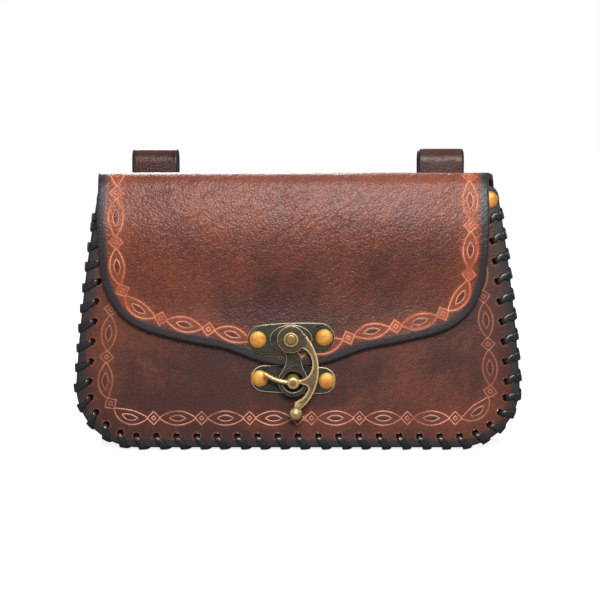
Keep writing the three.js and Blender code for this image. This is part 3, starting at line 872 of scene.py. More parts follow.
def border_tooling():
    """The border's pattern, from the place along it in pitches and across it in millimetres"""

    def fill(w, source):
        pitch = mm("border_pitch")
        across = w.math("ABSOLUTE", source["Across"])

        def from_middle(shift):
            turned = w.math("FRACT", w.plus(source["Along"], shift))
            return w.math("ABSOLUTE", w.times(w.minus(turned, 0.5), pitch))

        def lens(half):
            share = w.math("DIVIDE", lens_along, half[0])
            return w.minus(across, w.times(w.minus(1.0, w.times(share, share)), half[1]))

        def near(distance, start, end):
            return w.ease(w.math("ABSOLUTE", distance), start, end, 1.0, 0.0)

        diamond = w.plus(from_middle(0.5), across)
        lens_along = from_middle(0.0)
        outer, eye = lens(LENS_HALF), lens(EYE_HALF)
        lines = near(outer, 0.15, 0.42)
        for distance in (eye, w.minus(diamond, DIAMOND), w.minus(diamond, STUD)):
            lines = w.larger(lines, near(distance, 0.15, 0.42))
        glow = w.larger(near(outer, 0.4, 1.2), w.times(near(eye, 0.3, 0.9), 0.6))
        glow = w.larger(glow, w.ease(diamond, DIAMOND + 0.4, DIAMOND + 1.2, 1.0, 0.0))
        glow = w.larger(glow, w.times(w.ease(outer, -0.8, 0.2, 1.0, 0.0), 0.3))
        eye_ground = w.ease(eye, -0.8, 0.0, 1.0, 0.0)
        glow = w.times(glow, w.ease(eye_ground, 0.0, 1.0, 1.0, 0.25))
        inside = w.larger(eye_ground, near(diamond, 0.3, STUD))
        kept = source["Kept"]
        return {
            "Lines": w.times(lines, kept),
            "Inside": w.times(inside, kept),
            "Glow": w.times(glow, kept),
            "Band": w.ease(across, 2.0, 8.0, 1.0, 0.0),
        }

    outputs = {"Lines": FLOAT, "Inside": FLOAT, "Glow": FLOAT, "Band": FLOAT}
    return node_group("border_tooling", {"Along": FLOAT, "Across": FLOAT, "Kept": FLOAT}, outputs, fill)


def material_of(name, build):
    """A material, built once. build gets its wiring and its Principled BSDF"""
    name = "pouch_" + name
    if name in bpy.data.materials:
        return bpy.data.materials[name]
    material = bpy.data.materials.new(name)
    material.use_nodes = True
    w = Wiring(material.node_tree)
    build(w, material.node_tree.nodes["Principled BSDF"])
    return material


def object_place(w):
    return w.node("ShaderNodeTexCoord").outputs["Object"]


def bump(w, height, distance, strength, normal=None):
    inputs = {"Strength": strength, "Distance": distance, "Height": height}
    if normal is not None:
        inputs["Normal"] = normal
    return w.node("ShaderNodeBump", inputs).outputs[0]


def dress(w, shader, colour, roughness, normal):
    """Feeds the shader's colour, roughness and normal"""
    w.put(shader.inputs["Base Color"], colour)
    w.put(shader.inputs["Roughness"], roughness)
    w.put(shader.inputs["Normal"], normal)


def leather_layers(w, scale, creases):
    """The object's place, with the grain and the dye's tone there"""
    vector = object_place(w)
    grain = w.group(leather_grain(), {"Vector": vector, "Scale": scale, "Creases": creases})
    return vector, grain, w.group(dye_patina(), {"Vector": vector})["Tone"]


def tooled_leather():
    """Antiqued, hand-dyed panel leather with a tooled border"""

    def build(w, shader):
        c = colours()
        vector, grain, tone = leather_layers(w, 900.0, 1.0)
        facts = {"Along": w.fact("along"), "Across": w.fact("across"), "Kept": w.fact("kept")}
        tooling = w.group(border_tooling(), facts)
        halo, hole = w.fact("halo"), w.fact("hole")

        # The tone is shifted by a fact that carries rubbed warmer sides, and also painted sheen and painted
        # shade on the flap and the front.
        tone = w.plus(tone, w.fact("warmth"), clamp=True)
        colour = w.mix(w.ease(tone, 0.0, 0.55), rgba(c.leather_dark), rgba(c.leather_mid))
        colour = w.mix(w.ease(tone, 0.45, 1.0, 0.0, 0.85), colour, rgba(c.leather_warm))
        colour = w.mix(w.times(tooling["Band"], w.times(halo, 0.24)), colour, rgba(c.halo))
        colour = w.mix(w.times(grain["Valley"], 0.42), colour, rgba(c.leather_dark))
        uneven = w.times(w.minus(w.noise(vector, 130.0, 4.0), 0.5), 0.35)
        dye = w.ease(w.plus(w.fact("dye"), uneven), 0.5, 1.2)
        colour = w.mix(dye, rgba(c.edge), colour)
        colour = w.mix(w.times(tooling["Inside"], 0.7), colour, rgba(c.leather_dark))
        colour = w.mix(w.times(tooling["Glow"], halo), colour, rgba(c.halo))
        colour = w.mix(w.times(tooling["Lines"], 0.25), colour, rgba(c.line))
        ring = w.times(w.ease(hole, 1.6, 1.9), w.ease(hole, 2.1, 3.0, 1.0, 0.0))
        colour = w.mix(w.times(ring, 0.45), colour, rgba(c.leather_warm))
        inner = w.ease(w.fact("depth"), 0.86, 0.97)
        flesh = w.mix(w.noise(vector, 800.0, 5.0, 0.7), rgba(c.flesh, 0.72), rgba(c.flesh))
        colour = w.mix(w.times(inner, dye), colour, flesh)

        rough = w.plus(w.ease(grain["Fine"], 0.2, 0.8, 0.37, 0.5), w.times(inner, 0.35))
        pressed = w.minus(w.times(tooling["Lines"], 0.5), tooling["Inside"])
        smooth = w.times(w.ease(dye, 0.0, 1.0, 0.4, 1.0), w.fact("supple"))
        normal = bump(w, w.times(grain["Height"], smooth), 0.0005, 0.9, bump(w, pressed, 0.00013, 0.8))
        dress(w, shader, colour, rough, normal)
        shader.inputs["Specular IOR Level"].default_value = 0.34

    return material_of("tooled_leather", build)


def border_line_leather():
    """The border's raised lines, rubbed pale"""

    def build(w, shader):
        c = colours()
        vector = object_place(w)
        rubbed = w.times(w.ease(w.noise(vector, 90.0, 4.0), 0.28, 0.68), w.fact("rubbed"))
        colour = w.mix(rubbed, rgba(c.leather_warm), rgba(c.line))
        rough = w.ease(w.noise(vector, 1800.0), 0.3, 0.7, 0.38, 0.52)
        dress(w, shader, colour, rough, bump(w, w.noise(vector, 2400.0), 0.0001, 0.5))

    return material_of("border_line_leather", build)


def gusset_leather():
    """Soft, thin side leather with a dull finish"""

    def build(w, shader):
        c = colours()
        vector, grain, tone = leather_layers(w, 1200.0, 0.9)
        colour = w.mix(tone, rgba(c.gusset, 0.65), rgba(c.gusset))
        colour = w.mix(w.ease(w.noise(vector, 320.0, 6.0, 0.65), 0.4, 0.8), colour, rgba(c.gusset, 1.35))
        rough = w.ease(grain["Fine"], 0.2, 0.8, 0.52, 0.7)
        dress(w, shader, colour, rough, bump(w, grain["Height"], 0.0004, 0.8))

    return material_of("gusset_leather", build)


def strap_leather():
    """Dark, waxed strap leather with black edges"""

    def build(w, shader):
        c = colours()
        _, grain, tone = leather_layers(w, 1100.0, 0.35)
        colour = w.mix(tone, rgba(c.strap, 0.5), rgba(c.strap, 1.25))
        colour = w.mix(w.ease(w.fact("rim"), 0.8, 2.4, 1.0, 0.0), colour, rgba(c.edge))
        rough = w.ease(grain["Fine"], 0.2, 0.8, 0.27, 0.42)
        dress(w, shader, colour, rough, bump(w, grain["Height"], 0.0003, 0.8))
        shader.inputs["Specular IOR Level"].default_value = 0.2

    return material_of("strap_leather", build)


def thong_leather():
    """Almost black lacing thong, softly shining"""

    def build(w, shader):
        c = colours()
        vector = object_place(w)
        worn = w.ease(w.noise(vector, 520.0, 4.0, 0.6), 0.5, 0.8)
        colour = w.mix(worn, rgba(c.thong), rgba(c.thong, 2.4))
        rough = w.ease(w.noise(vector, 900.0), 0.3, 0.7, 0.26, 0.42)
        height = w.weighted((w.noise(vector, 1500.0, 3.0), 1.0), (w.noise(vector, 420.0), 2.0))
        dress(w, shader, colour, rough, bump(w, height, 0.00007, 0.7))

    return material_of("thong_leather", build)


def metal_age():
    """Tarnish and scratches of old brass, as masks"""

    def fill(w, source):
        vector = source["Vector"]
        cloud = w.noise(vector, 240.0, 6.0, 0.65)
        speck = w.noise(vector, 1400.0, 4.0, 0.7)
        scratch = w.noise(w.place(vector, (1.0, 1.0, 20.0), (0, 52, 0)), 1500.0, 2.0)
        tarnish = w.ease(w.weighted((cloud, 0.7), (speck, 0.3)), 0.35, 0.65)
        return {"Tarnish": tarnish, "Scratches": w.ease(scratch, 0.62, 0.72), "Speck": speck}

    outputs = {"Tarnish": FLOAT, "Scratches": FLOAT, "Speck": FLOAT}
    return node_group("metal_age", {"Vector": VECTOR}, outputs, fill)


def brass(name, dark, light, wear_reach, base_wear, roughness, metallic):
    """Metal whose dark finish is worn off along its edges, as far in as wear_reach. On the lever's ball the
    same mask lays a painted highlight ring
    """

    def build(w, shader):
        age = w.group(metal_age(), {"Vector": object_place(w)})
        uneven = w.times(w.minus(age["Speck"], 0.5), 0.6 * wear_reach)
        edge = w.ease(w.plus(w.fact("rim"), uneven), 0.0, wear_reach, 1.0, 0.0)
        worn = w.larger(edge, w.times(age["Scratches"], 0.15))
        worn = w.larger(worn, w.times(w.minus(1.0, age["Tarnish"]), base_wear))
        rough = w.ease(age["Tarnish"], 0.0, 1.0, roughness, roughness + 0.16)
        normal = bump(w, w.plus(age["Speck"], age["Scratches"]), 0.00006, 0.5)
        dress(w, shader, w.mix(worn, rgba(dark), rgba(light)), rough, normal)
        shader.inputs["Metallic"].default_value = metallic

    return material_of(name, build)


def clasp_brass():
    light = tinted(colours().aged_light, (1.25, 1.35, 1.6))
    return brass("clasp_brass", colours().aged_dark, light, 0.4, 0.05, roughness=0.4, metallic=0.9)


def lever_brass():
    dark = tinted(colours().aged_dark, (1.2, 1.2, 1.2))
    light = tinted(colours().aged_light, (0.9, 0.76, 0.6))
    return brass("lever_brass", dark, light, 0.9, 0.1, roughness=0.36, metallic=0.75)


def worn_brass():
    dark = tinted(colours().aged_light, (0.26, 0.17, 0.12))
    light = tinted(colours().aged_light, (0.95, 0.82, 0.55))
    return brass("worn_brass", dark, light, 1.2, 0.15, roughness=0.38, metallic=0.7)


def rivet_brass():
    dark = tinted(colours().rivet_brass, (0.72, 0.45, 0.3))
    return brass("rivet_brass", dark, colours().rivet_brass, 0.0001, 0.95, roughness=0.5, metallic=0.55)


def pin_steel():
    dark = tinted(colours().steel, (0.5, 0.5, 0.5))
    return brass("pin_steel", dark, colours().steel, 0.3, 0.6, roughness=0.4, metallic=1.0)


# ---------------------------------------------------------------- back, flap and front


# how finely the panels and the fold are divided, how far the divisions reach, and the even rim
SHEET_GRID = 2.5
FOLD_GRID = 1.1
SHEET_REACH = 106
SHEET_RIM = 1.4
# how far the edge's dye reaches, and the distance to a lace hole that is given where there are none
DYED_EDGE = 5.0
FAR_FROM_HOLES = 9.0
# where the front's border starts, and from there to the first diamond on each side
BORDER_START_X = 3.2
BORDER_PARTING = 3.4


def cuts(start, end, step):
    count = int((end - start) / step)
    return [start + (i + 0.37) * step for i in range(count + 1)]


def laced_sheet(outline, seam, t_cuts):
    """A flat panel with its lace holes"""
    sheet = slab(
        divided(outline, SHEET_GRID), mm("leather"), SHEET_RIM, mm("edge_round"),
        x_cuts=cuts(-SHEET_REACH, SHEET_REACH, SHEET_GRID), t_cuts=t_cuts,
    )
    return cut_away(sheet, rod_cutter(seam["holes"], mm("hole_radius"), 12))


def hole_distance(seam, x, z):
    """Distance to the nearest lace hole's middle"""
    length, _ = seam["edge"].locate((x, z))
    i = min(seam["stitches"], max(0, round((length - seam["start"]) / seam["pitch"])))
    return (Vector((x, z)) - seam["holes"][i]).length


def border_kept(border, length):
    """1 where the border's motifs run, 0 past their ends"""
    phase = border.phase(length)
    _, _, first, last = border.stretches[border.split_at(length)]
    return smooth_share(phase, first - 0.2, first - 0.13) * (1 - smooth_share(phase, last + 0.13, last + 0.2))


def warm_patches(x, z, side_warm):
    """Where the dye is rubbed warmer, away from the middle"""
    return side_warm * smooth_share(abs(x), 40, 92) - 0.18 * math.exp(-((x / 60) ** 2 + ((z - 30) / 30) ** 2))


def panel_border_inset(height):
    """The border runs further from the bottom edge than from the sides"""
    below, beside = mm("panel_border_low"), mm("panel_border")
    return below + (beside - below) * smooth_share(height, 12, 45)


def panel_facts(co, rim, seam, border, laced=True):
    """What the finish needs to know at a point of a flat panel, which lies this far inside its rim"""
    along, inward = border.run.locate((co.x, co.y))
    return {
        "dye": rim / DYED_EDGE,
        "along": border.phase(along),
        "across": inward,
        "kept": border_kept(border, along),
        "hole": hole_distance(seam, co.x, co.y) if laced else FAR_FROM_HOLES,
        "depth": co.z / mm("leather"),
    }


def finish_sheet(sheet, facts, place, name, material, node):
    """Writes the facts on a flat sheet, bends it and makes it a piece"""
    set_facts(sheet, facts)
    for v in sheet.verts:
        v.co = place(*v.co)
    bmesh.ops.recalc_face_normals(sheet, faces=sheet.faces)
    finished(sheet, name, [material], [node])


def build_front_panel():
    outline = front_outline()
    run = Run(outline, closed=True)
    seam = SEAMS["front"]
    sheet = laced_sheet(outline, seam, cuts(3, PANEL_TOP, SHEET_GRID))
    border_run = seam["edge"].beside(lambda length, spot: panel_border_inset(spot.y))
    split = border_run.locate((BORDER_START_X, EDGE_BOTTOM + mm("panel_border_low")))[0]
    stretches = [(split - BORDER_PARTING, -1, 0, 7), (split + BORDER_PARTING, 1, 0, 7)]
    border = Border(border_run, stretches, lambda length: 0 if length < split else 1)

    def facts(co):
        x, z = co.x, co.y
        rim = run.locate((x, z))[1]
        made = panel_facts(co, rim, seam, border)
        if z >= seam["top"]:
            made["kept"] = 0.0
        # The front's tone is painted darker overall, more so towards the right and within about 12 mm of its
        # edges: painted shade.
        warmth = warm_patches(x, z, 0.02 - 0.05 * smooth_share(x, 0, 60)) - 0.22
        made["warmth"] = warmth - 0.15 * (1 - smooth_share(rim, 5, 12))
        made["halo"] = 0.12
        made["supple"] = 0.34
        return made

    finish_sheet(sheet, facts, front_place, "front_panel_leather", tooled_leather(), "front_panel")
    border_piece("front_border", border, front_place, lambda co: 1 - 0.72 * smooth_share(co.z, 16, 36))


def build_back_and_flap():
    outline = back_and_flap_outline()
    run = Run(outline, closed=True)
    seam = SEAMS["back"]
    flap_t = FLAP_START + FLAP_TOP_Z
    t_cuts = cuts(3, FOLD_START, SHEET_GRID) + cuts(FOLD_START, FLAP_START, FOLD_GRID)
    t_cuts += cuts(FLAP_START, flap_t - 42, SHEET_GRID)
    sheet = laced_sheet(outline, seam, t_cuts)

    def inset(length, spot):
        share = smooth_share(spot.y, seam["top"], FLAP_START)
        on_flap = mm("flap_border") - 1.2 * smooth_share(spot.y, FLAP_START + 10, FLAP_START + 55)
        return panel_border_inset(spot.y) * (1 - share) + on_flap * share

    border_run = run.beside(inset)
    lap = border_run.total

    def length_at(x, t):
        return border_run.locate((x, t))[0]

    def diamonds(distance):
        """How many whole pitches fit in a distance along the border"""
        return int(distance % lap / mm("border_pitch"))

    bottom = length_at(0, EDGE_BOTTOM + mm("panel_border_low"))
    nose = length_at(FLAP_CENTRE, flap_t - 50.5)
    right_top, left_top = length_at(87, FOLD_MIDDLE), length_at(-87, FOLD_MIDDLE)
    right_diamond, left_diamond = length_at(24.7, flap_t - 55.4), length_at(-43.4, flap_t - 58.9)
    stretches = [
        (bottom + BORDER_PARTING, 1, 0, diamonds(right_top - bottom - BORDER_PARTING)),
        (right_diamond, -1, -1, diamonds(right_diamond - right_top)),
        (left_diamond, 1, -1, diamonds(left_top - left_diamond)),
        (bottom - BORDER_PARTING, -1, 0, diamonds(bottom - BORDER_PARTING - left_top)),
    ]
    ends = [(end - bottom) % lap for end in (right_top, nose, left_top)]
    border = Border(border_run, stretches, lambda length: sum((length - bottom) % lap >= end for end in ends))

    def facts(co):
        x, t = co.x, co.y
        z = t if t < FOLD_START else flap_t - t
        made = panel_facts(co, run.locate((x, t))[1], seam, border, laced=t < FOLD_START)
        on_flap = smooth_share(t, FOLD_START, FOLD_MIDDLE)
        # The flap's tone is painted warmer towards the fold, a painted sheen, and darker lower down towards
        # the clasp, more so to the right, a painted shade; its warmer sides are rubbed dye.
        flap_tone_and_painted_light = 0.15 * smooth_share(abs(x), 50, 90) + 0.25 * smooth_share(z, 95, 120)
        flap_tone_and_painted_light -= (0.1 + 0.12 * smooth_share(x, 0, 60)) * (1 - smooth_share(z, 55, 85))
        made["warmth"] = warm_patches(x, z, 0.1) + on_flap * flap_tone_and_painted_light
        made["halo"] = 0.12 + on_flap * (0.46 + 0.18 * smooth_share(x, -70, 80))
        made["supple"] = 0.5 + on_flap * (0.25 + 0.35 * smooth_share(z, 68, 110))
        return made

    place = back_and_flap_place
    finish_sheet(sheet, facts, place, "back_and_flap_leather", tooled_leather(), "back_panel_flap")
    border_piece("back_and_flap_border", border, place, lambda co: 0.6 if co.y > 0 else 0.85)


# ---------------------------------------------------------------- gusset


WEB_INSET = 12.0
WEB_BEND = 1.0
WEB_FOLD_DEPTH = 9.0
WEB_FOLD_FROM = 62.0
RIM_GAP = 0.3
EAR_STEPS = 3
GUSSET_HOLE = 0.52


def eared_edge(seam):
    """Stations along the laced edge, running on past its two ends: place, outward and along"""
    edge = seam["edge"]
    stations = []
    for spot, length in zip(edge.points, edge.lengths):
        _, along, outward = edge.at(length)
        stations.append((spot, outward, along))

    def run_on(station, steps):
        spot, outward, along = station
        return [(spot + along * seam["ear"] * k / EAR_STEPS, outward, along) for k in steps]

    before = run_on(stations[0], range(-EAR_STEPS, 0))
    return before + stations + run_on(stations[-1], range(1, EAR_STEPS + 1))


def gusset_section(front, back, rim_inset, columns):
    """The gusset's middle line across, from the front rim, round the folded web, to the back rim"""
    fold = max(0.0, (front[0].y - WEB_FOLD_FROM) / (PANEL_TOP - WEB_FOLD_FROM))
    half = mm("gusset") / 2
    rim_y = BACK_Y - mm("leather") - RIM_GAP - half

    def spot(station, inset, y):
        p = station[0] - station[1] * inset
        return Vector((p.x, y, p.y))

    crease = WEB_INSET + WEB_FOLD_DEPTH * fold + half
    turn = WEB_BEND + half
    middle = (spot(front, crease, 0) + spot(back, crease, 0)) / 2
    controls = [
        spot(front, rim_inset, -rim_y),
        spot(front, WEB_INSET - turn, -rim_y),
        spot(front, WEB_INSET + half, -rim_y + turn),
        middle,
        spot(back, WEB_INSET + half, rim_y - turn),
        spot(back, WEB_INSET - turn, rim_y),
        spot(back, rim_inset, rim_y),
    ]
    lengths = [0.0]
    for a, b in zip(controls, controls[1:]):
        lengths.append(lengths[-1] + (b - a).length)
    points = []
    for i in range(columns + 1):
        length = lengths[-1] * i / columns
        k = min(len(controls) - 2, sum(length > mark for mark in lengths[1:]))
        share = (length - lengths[k]) / (lengths[k + 1] - lengths[k])
        points.append(controls[k].lerp(controls[k + 1], min(1.0, share)))
    for _ in range(2):
        inner = [(a + b * 2 + c) / 4 for a, b, c in zip(points, points[1:], points[2:])]
        points = [points[0]] + inner + [points[-1]]
    return points, fold


def build_gusset():
    columns = 36
    front, back = eared_edge(SEAMS["front"]), eared_edge(SEAMS["back"])
    rows = []
    for i, (a, b) in enumerate(zip(front, back)):
        from_end = min(i, len(front) - 1 - i)
        rim_inset = SEAMS["front"]["ear"] * max(0, EAR_STEPS - from_end) / EAR_STEPS
        points, fold = gusset_section(a, b, rim_inset, columns)
        inward = Vector((-a[1].x, 0, -a[1].y))
        for k, p in enumerate(points):
            across = math.sin(math.pi * k / columns)
            wrinkle = noise.noise(Vector((p.x / 9, p.y / 7, p.z / 16)))
            reach = (0.25 + 1.3 * fold) * across ** 2
            points[k] = p + inward * wrinkle * reach
        rows.append(points)
    web = bmesh.new()
    bmesh.ops.create_grid(web, x_segments=columns, y_segments=len(rows) - 1, size=0.5)
    for v in web.verts:
        v.co = rows[round((v.co.y + 0.5) * (len(rows) - 1))][round((v.co.x + 0.5) * columns)]

    def solidify(worker):
        modifier = worker.modifiers.new("thickness", "SOLIDIFY")
        modifier.thickness = mm("gusset")
        modifier.offset = 0

    web = evaluated_bmesh(web, solidify)
    bmesh.ops.recalc_face_normals(web, faces=web.faces)
    for seam in SEAMS.values():
        rim = Matrix.Translation((0, seam["face"] + seam["inward"] * 4, 0))
        upright = rim @ Matrix.Rotation(math.pi / 2, 4, "X")
        web = cut_away(web, rod_cutter(seam["holes"], GUSSET_HOLE * mm("hole_radius"), 5, upright))
    finished(web, "gusset_leather", [gusset_leather()], ["gusset"])


# ---------------------------------------------------------------- lacing


# the room between the thong and the leather, and the thickness of the gusset's rim with its play
THONG_ROOM = 0.15
RIM_STACK = 1.5


def thong_ring(width, thick):
    """The thong's flat, round-cornered section"""
    ring = []
    corners = 12
    for i in range(corners):
        angle = math.tau * (i + 0.5) / corners
        c, s = math.cos(angle), math.sin(angle)
        ring.append((
            width / 2 * math.copysign(abs(c) ** 0.7, c),
            thick / 2 * math.copysign(abs(s) ** 0.55, s),
        ))
    return ring


def whip_stitch(stack, draw, hole, lean, advance=1.0):
    """One turn of the thong: places of (along, out, depth) with the way its grain side faces.
    It comes up through a hole, runs out over the face, round the edge and back behind"""
    half = mm("lace_thickness") / 2
    over, under = -half - THONG_ROOM, stack + half + THONG_ROOM
    mid = stack / 2
    lift = draw.uniform(0, 0.18)
    lean = lean * advance + draw.uniform(-0.035, 0.035)
    wrap = half + 0.1 + draw.uniform(0, 0.1)
    return [
        ((0.0, hole + 0.15, mid), (-1, 0)),
        ((0.02, hole + 0.5, over + 0.5), (-0.8, -0.6)),
        ((0.07, hole + 1.5, over - 0.12 - lift), (-0.15, -1)),
        ((0.2 * advance, hole * 0.5, over - 0.05 - lift), (0, -1)),
        ((lean - 0.13, -1.3, over), (0.05, -1)),
        ((lean - 0.06, wrap * 0.6, over + 0.75), (0.72, -0.7)),
        ((lean, wrap, mid), (1, 0)),
        ((lean + 0.06, wrap * 0.6, under - 0.75), (0.72, 0.7)),
        ((lean + 0.13, -1.3, under), (0.05, 1)),
        ((0.8 * advance, hole * 0.5, under + lift), (0, 1)),
        ((advance - 0.06, hole + 1.2, under + 0.1), (-0.2, 1)),
        ((advance - 0.01, hole + 0.3, under - 0.6), (-0.8, 0.6)),
    ]


def build_lace(name):
    """One lacing: a tail behind, a whip stitch through each hole and a tail again"""
    seam = SEAMS[name]
    draw = random.Random(11 if name == "front" else 23)
    stack = mm("leather") + RIM_GAP + RIM_STACK
    hole = -mm("hole_inset")
    under = stack + mm("lace_thickness") / 2 + THONG_ROOM
    turns = [[((-0.3, hole * 0.55, under), (0, 1)), ((-0.06, hole + 1.0, under), (-0.2, 1))]]
    turns.append(whip_stitch(stack, draw, hole, 0.5, 0.04))
    for i in range(seam["stitches"] + 1):
        _, along, _ = seam["edge"].at(seam["start"] + i * seam["pitch"])
        lean = 0.35 + 0.08 * abs(along.x) - 0.08 * along.y
        stitch = whip_stitch(stack, draw, -hole_inset(along), lean)
        turns.append([((a + i, n, d), f) for (a, n, d), f in stitch])
    last = seam["stitches"]
    turns[-1] = turns[-1][:9] + [((last + 0.45, hole * 0.62, under + 0.1), (0, 1))]
    controls, faces, widths = [], [], []
    for turn in turns:
        for (along, out, depth), facing in turn:
            spot, _, outward = seam["edge"].at(seam["start"] + along * seam["pitch"], 1.2)
            p = spot + outward * out
            controls.append(Vector((p.x, seam["face"] + seam["inward"] * depth, p.y)))
            turned = outward * facing[0]
            faces.append(Vector((turned.x, seam["inward"] * facing[1], turned.y)))
            on_side = abs(outward.x)
            spread = smooth_share(out, hole + 0.6 + 2.2 * on_side, 0.2)
            width = 0.76 + 0.1 * on_side + (0.46 + draw.uniform(-0.06, 0.06)) * spread
            widths.append(Vector((width, 1.3 - 0.3 * spread)))
    steps = 3
    ring = thong_ring(mm("lace_width"), mm("lace_thickness"))
    sections = [[(a * s.x, b * s.y) for a, b in ring] for s in between(widths, steps)]
    bm = bmesh.new()
    swept(bm, between(controls, steps), between(faces, steps), sections)
    finished(bm, name + "_lacing", [thong_leather()], [name + "_lace"], sharp=70)


# ---------------------------------------------------------------- belt loops


STRAP_INNER_END = 107.0
STRAP_BOW_TOP = 132.0
STRAP_LANDING = 68.0
STRAP_END = 50.0


def strap_run(inner_y, outer_y):
    """The strap's middle line in y and z: up the back, over and down again to its lower end"""
    turn = (outer_y - inner_y) / 2
    top = STRAP_TOP - mm("leather") / 2 - turn
    return Run(joined(
        straight((inner_y, STRAP_INNER_END), (inner_y, top), 12),
        arc((inner_y + turn, top), turn, 180, 0, 16),
        straight((outer_y, top), (outer_y, STRAP_BOW_TOP), 4),
        bezier([(outer_y, STRAP_BOW_TOP), (outer_y, 100), (inner_y, 92), (inner_y, STRAP_LANDING)], 40),
        straight((inner_y, STRAP_LANDING), (inner_y, STRAP_END), 8),
    ))


def build_belt_loop(side_name):
    node = "belt_loop_" + side_name
    middle_x = centre(node).x
    half = (high(node).x - low(node).x) / 2
    thick = mm("leather")
    line = strap_run(low(node).y + thick / 2, STRAP_OUTER_Y - thick / 2)
    end = line.total
    clip = 9.5
    point = joined(
        straight((half, end - clip - 6), (half, end - clip), 3),
        bezier([(half, end - clip), (half - 0.4, end - clip + 2.6), (half - 3, end - 4.6)], 6),
        bezier([(half - 3, end - 4.6), (half - 6.5, end - 0.5), (0, end)], 10),
    )
    mirrored = [Vector((-p.x, p.y)) for p in reversed(point)]
    outline = joined([Vector((-half, 0)), Vector((half, 0))], point, mirrored)
    run = Run(outline, closed=True)
    sheet = slab(
        divided(outline, 2.2), thick, 1.3, mm("edge_round"),
        x_cuts=cuts(-half, half, 3), t_cuts=cuts(1.5, end - 1.5, 1.7),
    )
    seed = 3 + middle_x

    def place(x, t, w):
        p, along, _ = line.at(max(0.0, min(end, t)), 1.0)
        normal = Vector((-along.y, along.x))
        free = smooth_share(t, 45, 60) * (1 - smooth_share(t, 110, 128))
        wave = 0.5 * free * ripple(x, t, seed)
        cup = 0.35 * free * (x / half) ** 2
        p = p + normal * (thick / 2 - w + wave - cup)
        return Vector((middle_x + x, p.x, p.y))

    def facts(co):
        return {"rim": run.locate((co.x, co.y))[1]}

    finish_sheet(sheet, facts, place, node + "_leather", strap_leather(), node)


# ---------------------------------------------------------------- rivets


RIVET = {"head": 4.15, "rise": 1.3, "shank": 1.6, "washer": 3.5, "washer_rise": 0.9}
PIN = {"head": 2.4, "rise": 0.8, "shank": 1.1, "washer": 2.4, "washer_rise": 0.8}
SEAT = 0.22


def rivet_profile(style, length, facing):
    """(radius, y) pairs of a domed rivet from its tip, which faces -Y, or +Y, at 0"""
    head, rise, shank, foot = style["head"], style["rise"], style["shank"], style["washer"]
    dome = [(head * math.sin(a), rise * (1 - math.cos(a))) for a in [math.radians(8 * i) for i in range(12)]]
    washer = length - style["washer_rise"]
    profile = dome[:-1] + [
        (head, rise), (head * 0.985, rise + SEAT), (shank, rise + SEAT), (shank, washer),
        (foot, washer), (foot, washer + 0.4), (foot - 0.4, length - 0.1),
        (foot * 0.45, length - 0.05), (foot * 0.3, length - 0.35), (0, length - 0.4),
    ]
    return [(r, d * facing) for r, d in profile]


def mark_turned(bm, middle, radius):
    """Marks how far inside its round rim each point of a turned piece lies"""
    set_facts(bm, lambda co: {"rim": radius - Vector((co.x - middle.x, co.z - middle.z)).length})


def build_rivets(nodes, name, style, material, facing):
    """Domed heads on their shanks with a washer behind, all of one kind"""
    bm = bmesh.new()
    bm.verts.layers.float.new("rim")
    draw = random.Random(len(name) + len(nodes))
    for node in nodes:
        lo, hi, middle = low(node), high(node), centre(node)
        tip = lo.y if facing > 0 else hi.y
        one = bmesh.new()
        spun(one, rivet_profile(style, hi.y - lo.y, facing), (middle.x, tip, middle.z), steps=32)
        bmesh.ops.recalc_face_normals(one, faces=one.faces)
        mark_turned(one, middle, style["head"])
        shift = Vector((draw.uniform(0, 50), 0, 0))
        for v in one.verts:
            if abs(v.co.y - tip) < style["rise"] * 0.9:
                v.co.y += 0.09 * noise.noise(v.co / 2.2 + shift) * facing
        absorb(bm, one)
    finished(bm, name, [material], nodes, sharp=50)


# ---------------------------------------------------------------- clasp


# the clasp's riveted plates: length, end radius, bulge of the long sides, tilt in degrees, bore
PLATE = {"length": 42, "radius": 7, "bulge": 0.6, "tilt": 1.8, "bore": 2.3}
FOOT = {"length": 41.2, "radius": 6.4, "bulge": 0.4, "tilt": -2, "bore": 1.8}
PLATE_ROUNDING = 0.42
PIVOT_BORE = 2.3
RIVET_BORE = 2.0

# half width and half height of the tab's head, the radii of its ring, and half of its neck
TAB_HEAD = (10.2, 6.9)
TAB_RING, TAB_RING_HOLE = 7.3, 5.2
TAB_NECK = 3.55

LEVER_THICK = 1.9
LEVER_DISC = 6.55
# the spur runs on a circle about the pivot
SPUR_CIRCLE, SPUR_RADIUS, SPUR_STEPS, SPUR_SIDES = 20.85, 1.15, 26, 14
BALL_RADIUS = 3.35
PIVOT_RADIUS = 3.55
# the post's cross hole, and how far from its middle its wear is counted
POST_DRILL, POST_WORN = 1.35, 2.3


def turned_outline(points, middle, tilt):
    angle = math.radians(tilt)
    c, s = math.cos(angle), math.sin(angle)
    return [Vector((middle.x + p[0] * c - p[1] * s, middle.z + p[0] * s + p[1] * c)) for p in points]


def metal_plate(outline, holes, front_y, thick, rounding, rim=1.1):
    """A flat plate in x and z with rounded edges, its rim marked for wear"""
    bm = slab(outline, thick, rim, rounding, holes=holes)
    runs = [Run(outline, closed=True)] + [Run(list(reversed(hole)), closed=True) for hole in holes]
    set_facts(bm, lambda co: {"rim": min(abs(run.locate((co.x, co.y))[1]) for run in runs)})
    for v in bm.verts:
        v.co = Vector((v.co.x, front_y + v.co.z, v.co.y))
    bmesh.ops.recalc_face_normals(bm, faces=bm.faces)
    return bm


def oblong_outline(length, radius, bulge):
    end = length / 2 - radius
    return joined(
        bezier([(-end, -radius), (0, -radius - 2 * bulge), (end, -radius)], 16),
        arc((end, 0), radius, -90, 90, 20),
        bezier([(end, radius), (0, radius + 2 * bulge), (-end, radius)], 16),
        arc((-end, 0), radius, 90, 270, 20)[:-1],
    )


def ring_points(x, z, radius, count=24):
    return [Vector((x + radius * math.cos(a), z + radius * math.sin(a))) for a in
            [math.tau * i / count for i in range(count)]]


